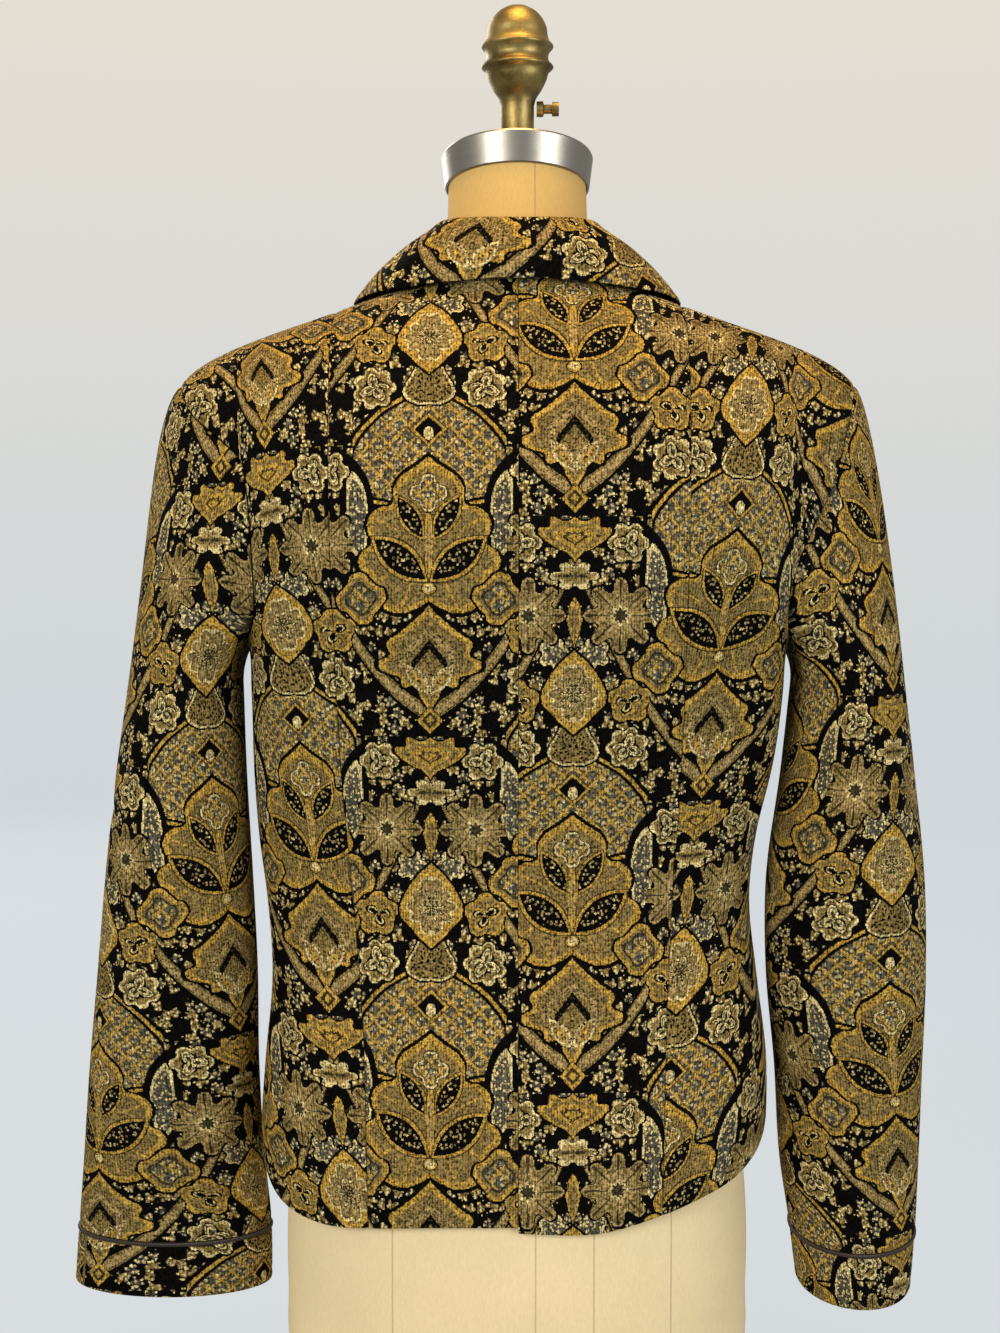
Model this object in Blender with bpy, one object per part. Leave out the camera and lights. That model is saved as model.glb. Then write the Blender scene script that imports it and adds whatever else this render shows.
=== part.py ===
"""A blazer on a limbless dress form.

Metres, +Z up. The blazer's front faces -Y, its wearer's left is +X, and the origin is on the floor
under the middle of the form. Every cloth piece is a thin wall on one smooth body surface: sections
at each height are superellipses, and a sleeve is a fan of curves from the armhole to a ring.
"""

import math

import bmesh
import bpy
import numpy as np

# Cloth
WALL = 0.0018
SEAM_GAP = 0.0003
LAP_DROP = 0.0026
LAP_FADE_OUT = 0.022
LAP_FADE_WIDTH = 0.030
LAP_FADE_HEIGHT = 0.594
LAP_FADE_SPAN = 0.045

# Heights on the body
HEM_HEIGHT = 0.233
UNDERARM_HEIGHT = 0.600
SHOULDER_TIP_HEIGHT = 0.772
NECK_POINT_HEIGHT = 0.840
BREAK_HEIGHT = 0.520
BACK_NECK_DROP = 0.003

# Widths on the body, out from the middle
NECK_POINT_OUT = 0.062
SHOULDER_TIP_OUT = 0.222
FRONT_EDGE_OUT = 0.0175
ROLL_BEND = 0.18

# Body of the blazer: half width on the left and right, depth to the back and to the front
SECTION_POWER = 2.4
BODY_COLUMNS = ("height", "left", "right", "back", "front")
BODY_SECTIONS = (
    (0.200, 0.168, 0.166, 0.113, 0.108),
    (0.272, 0.1735, 0.169, 0.111, 0.107),
    (0.320, 0.1705, 0.169, 0.105, 0.105),
    (0.378, 0.1655, 0.162, 0.095, 0.102),
    (0.430, 0.1690, 0.157, 0.087, 0.101),
    (0.470, 0.1740, 0.161, 0.086, 0.105),
    (0.515, 0.1770, 0.171, 0.093, 0.114),
    (0.567, 0.178, 0.177, 0.104, 0.126),
    (0.600, 0.180, 0.180, 0.111, 0.131),
    (0.640, 0.200, 0.200, 0.116, 0.131),
    (0.680, 0.221, 0.221, 0.118, 0.125),
    (0.720, 0.230, 0.230, 0.114, 0.111),
    (0.750, 0.230, 0.230, 0.107, 0.098),
    (0.772, 0.222, 0.222, 0.100, 0.087),
    (0.782, 0.210, 0.210, 0.096, 0.082),
    (0.792, 0.191, 0.191, 0.091, 0.077),
    (0.802, 0.1655, 0.1655, 0.086, 0.072),
    (0.8115, 0.138, 0.138, 0.080, 0.067),
    (0.8215, 0.110, 0.110, 0.073, 0.063),
    (0.832, 0.081, 0.081, 0.066, 0.059),
    (0.840, 0.062, 0.062, 0.060, 0.056),
)

# Princess seams: how far out they run
PRINCESS_COLUMNS = ("height", "back_left", "back_right", "front")
PRINCESS_SEAMS = (
    (0.200, 0.095, 0.091, 0.094),
    (0.350, 0.099, 0.095, 0.090),
    (0.520, 0.113, 0.104, 0.096),
    (0.650, 0.117, 0.106, 0.106),
    (0.840, 0.119, 0.107, 0.113),
)

# Armholes: how far out their edge runs, from the underarm up to the shoulder tip
ARMHOLE_COLUMNS = ("height", "back_left", "back_right", "front")
ARMHOLE_EDGES = (
    (0.600, 0.1800, 0.1800, 0.1800),
    (0.603, 0.1782, 0.1785, 0.1765),
    (0.608, 0.1745, 0.1755, 0.1720),
    (0.617, 0.1700, 0.1725, 0.1670),
    (0.640, 0.1680, 0.1735, 0.1630),
    (0.670, 0.1685, 0.1850, 0.1640),
    (0.700, 0.1710, 0.2000, 0.1710),
    (0.720, 0.1760, 0.2070, 0.1800),
    (0.735, 0.1930, 0.2110, 0.1910),
    (0.748, 0.2090, 0.2150, 0.2030),
    (0.760, 0.2175, 0.2185, 0.2140),
    (0.772, 0.2220, 0.2220, 0.2220),
)

# Hem: height above the back hem, by how far round from the middle of the back
HEM_COLUMNS = ("turn", "left", "right")
HEM_RISE = (
    (0, 0.004, 0.000),
    (13, 0.003, -0.001),
    (26, 0.000, 0.006),
    (40, -0.003, 0.015),
    (52, -0.001, 0.022),
    (62, 0.004, 0.030),
    (76, 0.020, 0.043),
    (90, 0.039, 0.056),
    (104, 0.024, 0.038),
    (125, 0.005, 0.012),
    (150, 0.000, 0.000),
    (180, 0.000, 0.000),
)
HEM_TURN_HEIGHT = 0.263
FRONT_CORNER_RISE = 0.030
FRONT_CORNER_WIDTH = 0.045
CORNER_ROUNDNESS = 0.999

# Largest folds of the body: from and to, as distance out and height, half width and rise
FOLD_FADE = 0.35
FOLD_COLUMNS = ("side", "face", "out", "height", "end_out", "end_height", "width", "rise")
FOLDS = (
    ("left", "back", 0.150, 0.690, 0.154, 0.520, 0.013, 0.0040),
    ("right", "back", 0.166, 0.690, 0.156, 0.500, 0.013, 0.0050),
    ("left", "back", 0.135, 0.660, 0.138, 0.540, 0.009, -0.0025),
    ("right", "back", 0.142, 0.670, 0.136, 0.530, 0.010, -0.0030),
    ("left", "back", 0.140, 0.420, 0.132, 0.250, 0.016, 0.0035),
    ("right", "back", 0.128, 0.400, 0.140, 0.250, 0.016, 0.0035),
    ("left", "front", 0.148, 0.680, 0.140, 0.520, 0.013, 0.0040),
    ("right", "front", 0.146, 0.690, 0.142, 0.540, 0.013, 0.0040),
    ("left", "front", 0.128, 0.400, 0.136, 0.250, 0.016, 0.0035),
    ("right", "front", 0.136, 0.410, 0.130, 0.250, 0.016, 0.0030),
)

# Sleeves: sections from the upper arm down to the cuff hem
SLEEVE_COLUMNS = ("height", "outer", "inner", "middle", "depth", "turn")
LEFT_SLEEVE = (
    (0.572, 0.2600, 0.1850, 0.004, 0.064, -6),
    (0.512, 0.2690, 0.1830, 0.005, 0.062, 0),
    (0.440, 0.2775, 0.1790, 0.006, 0.057, 8),
    (0.378, 0.2840, 0.1765, 0.004, 0.052, 14),
    (0.310, 0.2918, 0.1765, -0.001, 0.044, 20),
    (0.240, 0.2985, 0.1735, -0.007, 0.035, 26),
    (0.200, 0.3025, 0.1700, -0.010, 0.028, 28),
    (0.150, 0.3075, 0.1700, -0.014, 0.026, 29),
)
RIGHT_SLEEVE = (
    (0.572, 0.2590, 0.1850, 0.004, 0.064, 6),
    (0.512, 0.2665, 0.1785, 0.005, 0.062, 12),
    (0.440, 0.2745, 0.1690, 0.006, 0.057, 15),
    (0.378, 0.2768, 0.1695, 0.004, 0.054, 17),
    (0.310, 0.2762, 0.1765, -0.001, 0.052, 12),
    (0.240, 0.2758, 0.1820, -0.007, 0.050, 4),
    (0.200, 0.2750, 0.1885, -0.010, 0.049, 0),
    (0.150, 0.2725, 0.1955, -0.014, 0.048, -3),
)
CUFF_SEAM_HEIGHT = 0.1955
CUFF_HEM_HEIGHT = 0.1570
CUFF_SEAM_DIP = 0.010
PIPING_HEIGHT = 0.0030
CAP_START_GAP = SEAM_GAP * 1.8
CAP_TOP_LEAN = math.radians(4)
UNDERARM_LEAN = math.radians(84)
UNDERARM_REACH = math.radians(105)
UNDERARM_FADE = math.radians(95)
CAP_TOP_PULL = {"left": 0.46, "right": 0.27}
UNDERARM_PULL = 0.225
ARM_PULL = 1.3
ARM_STEP = 0.004
PIPING_PROUD = 0.0010
HINDARM_COLUMN = 4
FOREARM_COLUMN = 15

# Collar, from the middle of the back to its front end: where it is sewn on, its fold and its edge
COLLAR_END_HEIGHT = 0.798
COLLAR_LOWEST = 0.692
COLLAR_SEAT = SEAM_GAP * 2
COLLAR_FALL_BULGE = 0.005
COLLAR_FOLD_NARROWING = 0.35
COLLAR_TOP_RISE = 0.5
COLLAR_FALL_PARTS = (0.35, 0.7, 1.0)
FOLD_RADIUS = 0.0030
COLLAR_COLUMNS = ("step", "stand", "lean", "edge_x", "edge_y", "edge_lift")
COLLAR_STATIONS = (
    (0.00, 0.0340, 0.0060, 0.000, 0.0685, 0.0075),
    (0.18, 0.0340, 0.0065, 0.042, 0.0650, 0.0065),
    (0.36, 0.0330, 0.0080, 0.080, 0.0500, 0.0050),
    (0.52, 0.0310, 0.0095, 0.104, 0.0180, 0.0042),
    (0.68, 0.0240, 0.0080, 0.109, -0.0200, 0.0040),
    (0.84, 0.0150, 0.0050, 0.106, -0.0520, 0.0040),
    (1.00, 0.0070, 0.0020, 0.097, -0.0740, 0.0040),
)

# Lapels: heights of their roll edge and outer edge, and how far out each runs
LAPEL_LIFT = 0.0012
LAPEL_COLUMNS = ("step", "roll_height", "edge_height", "edge_out")
RIGHT_LAPEL = (
    (0.00, 0.5240, 0.5225, -0.0115),
    (0.25, 0.5850, 0.5760, 0.0290),
    (0.50, 0.6500, 0.6340, 0.0650),
    (0.75, 0.7190, 0.6950, 0.0960),
    (1.00, 0.7900, 0.7600, 0.1160),
)
LEFT_LAPEL = (
    (0.00, 0.6000, 0.5960, 0.0180),
    (0.25, 0.6420, 0.6300, 0.0480),
    (0.50, 0.6890, 0.6690, 0.0760),
    (0.75, 0.7380, 0.7120, 0.0990),
    (1.00, 0.7900, 0.7600, 0.1160),
)

# Buttons
BUTTON_HEIGHTS = (0.500, 0.410, 0.320)
BUTTON_RADIUS = 0.0100
BUTTON_THICKNESS = 0.0034
BUTTON_PROFILE = ((0.94, 0.0), (1.0, 0.3), (1.0, 0.75), (0.86, 1.0))
BUTTON_SEAT = SEAM_GAP * 1.5
BUTTON_SIDES = 16

# Dress form: half width, depth to the back and to the front
FORM_COLUMNS = ("height", "half_width", "back", "front", "middle")
FORM_SECTIONS = (
    (0.105, 0.147, 0.098, 0.092, 0.000),
    (0.118, 0.153, 0.103, 0.096, 0.000),
    (0.165, 0.156, 0.107, 0.099, 0.000),
    (0.215, 0.156, 0.107, 0.099, 0.000),
    (0.270, 0.151, 0.104, 0.098, 0.000),
    (0.330, 0.138, 0.094, 0.094, 0.000),
    (0.385, 0.125, 0.083, 0.087, 0.000),
    (0.430, 0.119, 0.078, 0.084, 0.000),
    (0.475, 0.122, 0.080, 0.087, 0.000),
    (0.530, 0.133, 0.088, 0.100, 0.000),
    (0.580, 0.145, 0.098, 0.114, 0.000),
    (0.620, 0.151, 0.104, 0.119, 0.000),
    (0.660, 0.158, 0.107, 0.114, 0.000),
    (0.700, 0.168, 0.106, 0.105, 0.000),
    (0.735, 0.176, 0.101, 0.094, 0.000),
    (0.765, 0.180, 0.094, 0.083, 0.000),
    (0.782, 0.180, 0.089, 0.077, 0.000),
    (0.789, 0.180, 0.0850, 0.0730, 0.000),
    (0.799, 0.1630, 0.0800, 0.0680, 0.000),
    (0.8085, 0.1360, 0.0740, 0.0630, 0.000),
    (0.8185, 0.1080, 0.0670, 0.0590, 0.000),
    (0.829, 0.0770, 0.0572, 0.0540, 0.000),
    (0.840, 0.0560, 0.0515, 0.0505, 0.000),
    (0.855, 0.0492, 0.0485, 0.0485, -0.001),
    (0.872, 0.0470, 0.0470, 0.0470, -0.002),
    (0.890, 0.0461, 0.0461, 0.0461, -0.003),
    (0.913, 0.0457, 0.0457, 0.0457, -0.004),
)
FORM_SIDES = 28
NECK_TILT = math.radians(11)
NECK_TILT_FROM = 0.862
NECK_TOP_HEIGHT = 0.913
NECK_ROUND_FROM = 0.832
NECK_ROUND_SPAN = 0.020
FORM_EXTRA_LEVELS = (0.1415, 0.190, 0.2425)

# Neck cap
CAP_TOP_RADIUS = 0.0503
CAP_FOOT_RADIUS = 0.0480
CAP_RIM_INNER = 0.0467
CAP_HEIGHT = 0.021
CAP_RECESS = 0.0123
CAP_DROP = 0.0120
CAP_BEVEL = 0.0015
CAP_MIDDLE = (0.0, -0.004)

# Finial, as radius and height above the middle of the cap
FINIAL_PROFILE = (
    (0.0111, 0.0000),
    (0.0111, 0.0340),
    (0.0125, 0.0385),
    (0.0160, 0.0440),
    (0.0195, 0.0510),
    (0.0212, 0.0560),
    (0.0240, 0.0590),
    (0.0213, 0.0622),
    (0.0205, 0.0655),
    (0.0215, 0.0690),
    (0.0240, 0.0725),
    (0.0213, 0.0758),
    (0.0203, 0.0790),
    (0.0195, 0.0845),
    (0.0170, 0.0900),
    (0.0125, 0.0950),
    (0.0070, 0.0982),
)
FINIAL_TOP = 0.0995
FINIAL_SIDES = 20

# Thumb screw, as distance out from the finial's axis and radius
SCREW_HEIGHT = 0.0320
SCREW_PROFILE = (
    (0.0128, 0.0050),
    (0.0170, 0.0052),
    (0.0178, 0.0030),
    (0.0228, 0.0030),
    (0.0230, 0.0046),
    (0.0276, 0.0046),
)
SCREW_SIDES = 12

# Pole and foot
POLE_RADIUS = 0.016
POLE_SIDES = 16
FOOT_RADIUS = 0.150
FOOT_HEIGHT = 0.018
FOOT_BEVEL = 0.004
FOOT_SIDES = 36

# Mesh density
LOWER_ROWS = 9
UPPER_ROWS = 11
PANEL_COLUMNS = 6
CAP_ROWS = 6
SLEEVE_ROWS = 9
CUFF_ROWS = 3
COLLAR_STEPS = 25
LAPEL_ROWS = 9
LAPEL_COLUMNS_COUNT = 5
DENSE = 400

# Columns of a panel run by turn below this height, and evenly by width a span above it
STRAIGHT_FROM = 0.66
STRAIGHT_SPAN = 0.09


def clear_scene():
    """Remove every object of the opened scene."""
    for thing in list(bpy.data.objects):
        bpy.data.objects.remove(thing, do_unlink=True)


def material(name, color, roughness, metallic=0.0):
    """A plain Principled material."""
    made = bpy.data.materials.new(name)
    made.use_nodes = True
    shader = made.node_tree.nodes["Principled BSDF"]
    shader.inputs["Base Color"].default_value = (*color, 1.0)
    shader.inputs["Roughness"].default_value = roughness
    shader.inputs["Metallic"].default_value = metallic
    made.diffuse_color = (*color, 1.0)
    return made


def smooth_curve(keys, values):
    """A function through the given values: cubic pieces whose slopes are those of the table."""
    keys = np.array(keys, dtype=float)
    values = np.array(values, dtype=float)
    slopes = np.gradient(values, keys)

    def at(where):
        where = np.clip(np.asarray(where, dtype=float), keys[0], keys[-1])
        start = np.clip(np.searchsorted(keys, where) - 1, 0, len(keys) - 2)
        span = keys[start + 1] - keys[start]
        part = (where - keys[start]) / span
        rise = part * part * (3 - 2 * part)
        leave = part * (1 - part) ** 2 * span * slopes[start]
        arrive = part * part * (part - 1) * span * slopes[start + 1]
        return values[start] * (1 - rise) + values[start + 1] * rise + leave + arrive

    return at


def table_curves(columns, rows):
    """One smooth curve for each named column, over the first column."""
    table = np.array(rows, dtype=float)
    keys = table[:, 0]
    return {name: smooth_curve(keys, table[:, place]) for place, name in enumerate(columns)}


def ease(part):
    """A soft step from 0 to 1."""
    part = np.clip(part, 0.0, 1.0)
    return part * part * (3 - 2 * part)


BODY = table_curves(BODY_COLUMNS, BODY_SECTIONS)
PRINCESS = table_curves(PRINCESS_COLUMNS, PRINCESS_SEAMS)
ARMHOLE = table_curves(ARMHOLE_COLUMNS, ARMHOLE_EDGES)
HEM = table_curves(HEM_COLUMNS, HEM_RISE)
COLLAR = table_curves(COLLAR_COLUMNS, COLLAR_STATIONS)
FORM = table_curves(FORM_COLUMNS, FORM_SECTIONS)
SLEEVE = {
    "left": table_curves(SLEEVE_COLUMNS, LEFT_SLEEVE[::-1]),
    "right": table_curves(SLEEVE_COLUMNS, RIGHT_SLEEVE[::-1]),
}
LAPEL = {
    "left": table_curves(LAPEL_COLUMNS, LEFT_LAPEL),
    "right": table_curves(LAPEL_COLUMNS, RIGHT_LAPEL),
}
SIGN = {"left": 1.0, "right": -1.0}
FACE = {"back": 1.0, "front": -1.0}


def depth_at(side, face, out, height):
    """How far the body surface lies from the middle plane, at a distance out and a height."""
    share = np.clip(np.abs(out) / BODY[side](height), 0.0, 1.0)
    return BODY[face](height) * (1 - share ** SECTION_POWER) ** (1 / SECTION_POWER)


def out_at_turn(side, turn, height):
    """How far out the section lies, at a turn from the middle (0) to the side (a quarter turn)."""
    return BODY[side](height) * np.sin(turn) ** (2 / SECTION_POWER)


def turn_at_out(side, out, height):
    """The turn at which the section lies as far out as given."""
    share = np.clip(out / BODY[side](height), 0.0, 1.0)
    return np.arcsin(share ** (SECTION_POWER / 2))


def body_normal(side, face, out, depth, height):
    """Unit normal of the body surface: the gradient of its superellipse sum."""
    power = SECTION_POWER
    step = 1e-4

    def total(level):
        across = (np.abs(out) / BODY[side](level)) ** power
        return across + (np.abs(depth) / BODY[face](level)) ** power

    slope_x = power * np.sign(out) * np.abs(out) ** (power - 1) / BODY[side](height) ** power
    slope_y = power * np.abs(depth) ** (power - 1) / BODY[face](height) ** power
    low = np.clip(height - step, BODY_SECTIONS[0][0], BODY_SECTIONS[-1][0])
    high = np.clip(height + step, BODY_SECTIONS[0][0], BODY_SECTIONS[-1][0])
    slope_z = (total(high) - total(low)) / (high - low)
    normal = np.stack([SIGN[side] * slope_x, FACE[face] * slope_y, slope_z], axis=-1)
    return normal / np.linalg.norm(normal, axis=-1, keepdims=True)


def fold_rise(side, face, out, height):
    """How far the folds push the cloth out: soft ridges or troughs that die out at both ends."""
    total = np.zeros(np.broadcast(out, height).shape)
    for row in FOLDS:
        fold = dict(zip(FOLD_COLUMNS, row))
        if fold["side"] != side or fold["face"] != face:
            continue
        run = np.array([fold["end_out"] - fold["out"], fold["end_height"] - fold["height"]])
        part = ((out - fold["out"]) * run[0] + (height - fold["height"]) * run[1]) / (run @ run)
        across = ((out - fold["out"]) * run[1] - (height - fold["height"]) * run[0])
        away = across / np.linalg.norm(run) / fold["width"]
        fade = ease(part / FOLD_FADE) * ease((1 - part) / FOLD_FADE)
        total = total + fold["rise"] * fade * np.exp(-away ** 2)
    return total


def hem_height(side, face, out):
    """Hem height by the turn round the body, with a rounded corner at the front edge."""
    turn = np.degrees(turn_at_out(side, np.clip(out, 0, None), HEM_TURN_HEIGHT))
    around = turn if face == "back" else 180 - turn
    corner = 0.0
    if face == "front":
        near = 1 - np.clip((out + FRONT_EDGE_OUT) / FRONT_CORNER_WIDTH, 0, 1)
        corner = FRONT_CORNER_RISE * (1 - np.sqrt(1 - near ** 2 * CORNER_ROUNDNESS))
    return HEM_HEIGHT + HEM[side](around) + corner


def back_neck_height(out):
    """Back neckline: a shallow curve up to the neck point."""
    return NECK_POINT_HEIGHT - BACK_NECK_DROP * (1 - (out / NECK_POINT_OUT) ** 2)


def roll_out(height):
    """How far out the front's free edge runs: straight, then along the roll line to the neck."""
    part = np.clip((height - BREAK_HEIGHT) / (NECK_POINT_HEIGHT - BREAK_HEIGHT), 0, 1)
    rise = part + ROLL_BEND * part * (1 - part)
    return -FRONT_EDGE_OUT + (NECK_POINT_OUT + FRONT_EDGE_OUT) * rise


def seam_out(side, face, seam, height):
    """How far out a seam or an edge runs at a height."""
    if seam == "middle":
        return np.zeros_like(height) + SEAM_GAP / 2
    if seam == "roll":
        return roll_out(height)
    if seam == "princess":
        return PRINCESS["front"](height) if face == "front" else PRINCESS["back_" + side](height)
    hole = ARMHOLE["front"](height) if face == "front" else ARMHOLE["back_" + side](height)
    hole = np.minimum(hole, BODY[side](height))
    outer = np.where(height < UNDERARM_HEIGHT, BODY[side](height), hole)
    return np.where(height > SHOULDER_TIP_HEIGHT, SHOULDER_TIP_OUT, outer)


def column_out(side, face, seams, share, height):
    """A column between two seams: evenly by turn at the side, evenly by width at the shoulder."""
    start = seam_out(side, face, seams[0], height)
    end = seam_out(side, face, seams[1], height)
    straight = start + (end - start) * share
    if seams[0] == "roll":
        return straight
    turn_start = turn_at_out(side, start, height)
    turn_end = turn_at_out(side, end, height)
    turned = out_at_turn(side, turn_start + (turn_end - turn_start) * share, height)
    blend = ease((height - STRAIGHT_FROM) / STRAIGHT_SPAN)
    return turned * (1 - blend) + straight * blend


def column_top(side, face, seams, share):
    """Height where a column meets the shoulder seam or the back neckline."""
    levels = np.linspace(SHOULDER_TIP_HEIGHT, NECK_POINT_HEIGHT, DENSE)
    outs = column_out(side, face, seams, share, levels)
    room = BODY[side](levels) - outs
    if face == "back" and outs[-1] < NECK_POINT_OUT:
        return float(back_neck_height(outs[-1]))
    if room[-1] > 0:
        return NECK_POINT_HEIGHT
    if room[0] < 0:
        return SHOULDER_TIP_HEIGHT
    crossing = int(np.argmax(room <= 0))
    return float(levels[crossing])


def column_points(side, face, seams, share, rows_below, rows_above):
    """One column of the body surface, evenly spaced from hem to underarm and on to its top."""
    start_out = float(column_out(side, face, seams, share, np.array(HEM_HEIGHT)))
    low = float(hem_height(side, face, np.array(start_out)))
    top = column_top(side, face, seams, share)
    part = np.linspace(0, 1, DENSE)
    spans = (
        (low + (UNDERARM_HEIGHT - low) * part, rows_below),
        (UNDERARM_HEIGHT + (top - UNDERARM_HEIGHT) * ease(part), rows_above),
    )
    pieces = []
    for heights, count in spans:
        outs = column_out(side, face, seams, share, heights)
        depths = depth_at(side, face, outs, heights)
        path = np.stack([outs, depths, heights], axis=-1)
        walked = np.concatenate([[0], np.cumsum(np.linalg.norm(np.diff(path, axis=0), axis=1))])
        stops = np.linspace(0, walked[-1], count)
        pieces.append(np.stack([np.interp(stops, walked, path[:, k]) for k in range(3)], axis=-1))
    return np.concatenate([pieces[0], pieces[1][1:]])


def centre_back_shares(side, columns):
    """Shares of the centre back's columns: rounding to the neck point, then on to the seam."""
    neck = NECK_POINT_OUT / float(PRINCESS["back_" + side](NECK_POINT_HEIGHT))
    inner = neck * np.sin(np.linspace(0, math.pi / 2, columns - 1))
    return np.concatenate([inner, np.linspace(neck, 1, 3)[1:]])


def panel_points(side, face, seams, columns, rows_below, rows_above):
    """Grid of a body panel as out, depth, height, with half a seam gap taken off each side."""
    shares = np.linspace(0, 1, columns)
    if seams[0] == "middle":
        shares = centre_back_shares(side, columns)
    grid = np.stack([column_points(side, face, seams, share, rows_below, rows_above)
                     for share in shares], axis=1)
    if seams[0] == "princess":
        grid[:, 0, 0] += SEAM_GAP / 2
    if seams[1] == "princess":
        grid[:, -1, 0] -= SEAM_GAP / 2
    grid[:, :, 1] = np.maximum(grid[:, :, 1], SEAM_GAP / 2)
    return grid


def panel_walls(side, face, seams, columns=PANEL_COLUMNS, rows_below=LOWER_ROWS,
                rows_above=UPPER_ROWS, sink=None):
    """Outer and inner grids of a body panel in world coordinates."""
    grid = panel_points(side, face, seams, columns, rows_below, rows_above)
    out, depth, height = grid[..., 0], grid[..., 1], grid[..., 2]
    normal = body_normal(side, face, out, depth, height)
    outer = np.stack([SIGN[side] * out, FACE[face] * depth, height], axis=-1)
    outer = outer + normal * fold_rise(side, face, out, height)[..., None]
    if sink is not None:
        outer = outer - normal * sink(out, height)[..., None]
    return outer, outer - normal * WALL


def under_lap_sink(out, height):
    """The left front lies under the right one: how far it is moved in near its edge."""
    near_edge = 1 - ease((out - LAP_FADE_OUT) / LAP_FADE_WIDTH)
    below = 1 - ease((height - LAP_FADE_HEIGHT) / LAP_FADE_SPAN)
    return LAP_DROP * near_edge * below


def grid_faces(rows, columns, ring, offset=0):
    """Quads of a grid of points, joined round where it is a ring."""
    across = columns if ring else columns - 1
    faces = []
    for row in range(rows - 1):
        for column in range(across):
            after = (column + 1) % columns
            first = offset + row * columns
            second = first + columns
            faces.append((first + column, first + after, second + after, second + column))
    return faces


def rim_faces(rows, columns, ring):
    """Quads that join the edges of two equal grids."""
    count = rows * columns
    loops = []
    if ring:
        loops.append([column for column in range(columns)])
        loops.append([(rows - 1) * columns + column for column in range(columns)])
    else:
        bottom = list(range(columns))
        right = [row * columns + columns - 1 for row in range(1, rows)]
        top = [(rows - 1) * columns + column for column in range(columns - 2, -1, -1)]
        left = [row * columns for row in range(rows - 2, 0, -1)]
        loops.append(bottom + right + top + left)
    faces = []
    for loop in loops:
        for place, point in enumerate(loop):
            after = loop[(place + 1) % len(loop)]
            faces.append((point, after, count + after, count + point))
    return faces


def add_solid(name, points, faces, look, sharp=35):
    """Make one closed object with its faces pointing out."""
    mesh = bpy.data.meshes.new(name)
    mesh.from_pydata([tuple(map(float, point)) for point in points], [], faces)
    shape = bmesh.new()
    shape.from_mesh(mesh)
    bmesh.ops.recalc_face_normals(shape, faces=shape.faces)
    shape.to_mesh(mesh)
    shape.free()
    mesh.shade_smooth()
    mesh.set_sharp_from_angle(angle=math.radians(sharp))
    mesh.materials.append(look)
    thing = bpy.data.objects.new(name, mesh)
    bpy.context.scene.collection.objects.link(thing)
    return thing


def add_wall(name, outer, inner, look, ring=False):
    """A closed wall between two equal grids of points."""
    rows, columns = outer.shape[:2]
    points = np.concatenate([outer.reshape(-1, 3), inner.reshape(-1, 3)])
    faces = grid_faces(rows, columns, ring)
    faces += grid_faces(rows, columns, ring, rows * columns)
    faces += rim_faces(rows, columns, ring)
    return add_solid(name, points, faces, look)


def unit(vectors):
    """Vectors made one long."""
    return vectors / np.maximum(np.linalg.norm(vectors, axis=-1, keepdims=True), 1e-12)


def armhole_loop(side, rows_above):
    """Points, surface normals and directions into the hole, round the armhole from the tip."""
    back = panel_points(side, "back", ("princess", "outer"), 2, LOWER_ROWS, rows_above)
    front = panel_points(side, "front", ("princess", "outer"), 2, LOWER_ROWS, rows_above)
    start = LOWER_ROWS - 1
    loop = []
    normals = []
    for face, grid in (("back", back[start:, 1][::-1]), ("front", front[start:, 1])):
        normal = body_normal(side, face, grid[:, 0], grid[:, 1], grid[:, 2])
        world = np.stack([SIGN[side] * grid[:, 0], FACE[face] * grid[:, 1], grid[:, 2]], axis=-1)
        loop.append(world[:-1])
        normals.append(normal[:-1])
    loop = np.concatenate(loop)
    normals = unit(np.concatenate(normals))
    along = unit(np.roll(loop, -1, axis=0) - np.roll(loop, 1, axis=0))
    into = unit(np.cross(along, normals))
    middle = loop.mean(axis=0)
    flip = np.sign(np.sum(into * (middle - loop), axis=-1, keepdims=True))
    return loop, normals, into * flip


def sleeve_ring(side, level, angles):
    """One ring of a sleeve: an ellipse between its inner and outer edge, turned a little."""
    shape = SLEEVE[side]
    outer, inner = shape["outer"](level), shape["inner"](level)
    turned = angles + np.radians(shape["turn"](level))
    across = (outer + inner) / 2 + (outer - inner) / 2 * np.cos(turned)
    depth = shape["middle"](level) + shape["depth"](level) * np.sin(turned)
    return np.stack([SIGN[side] * across, depth, np.zeros_like(across) + level], axis=-1)


def dipped(ring, amount):
    """Lower the back of a ring a little, as the cuff seam and hem lie."""
    ring = ring.copy()
    reach = (ring[:, 1] - ring[:, 1].min()) / (ring[:, 1].max() - ring[:, 1].min())
    ring[:, 2] -= amount * (reach - 0.5)
    return ring


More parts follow.
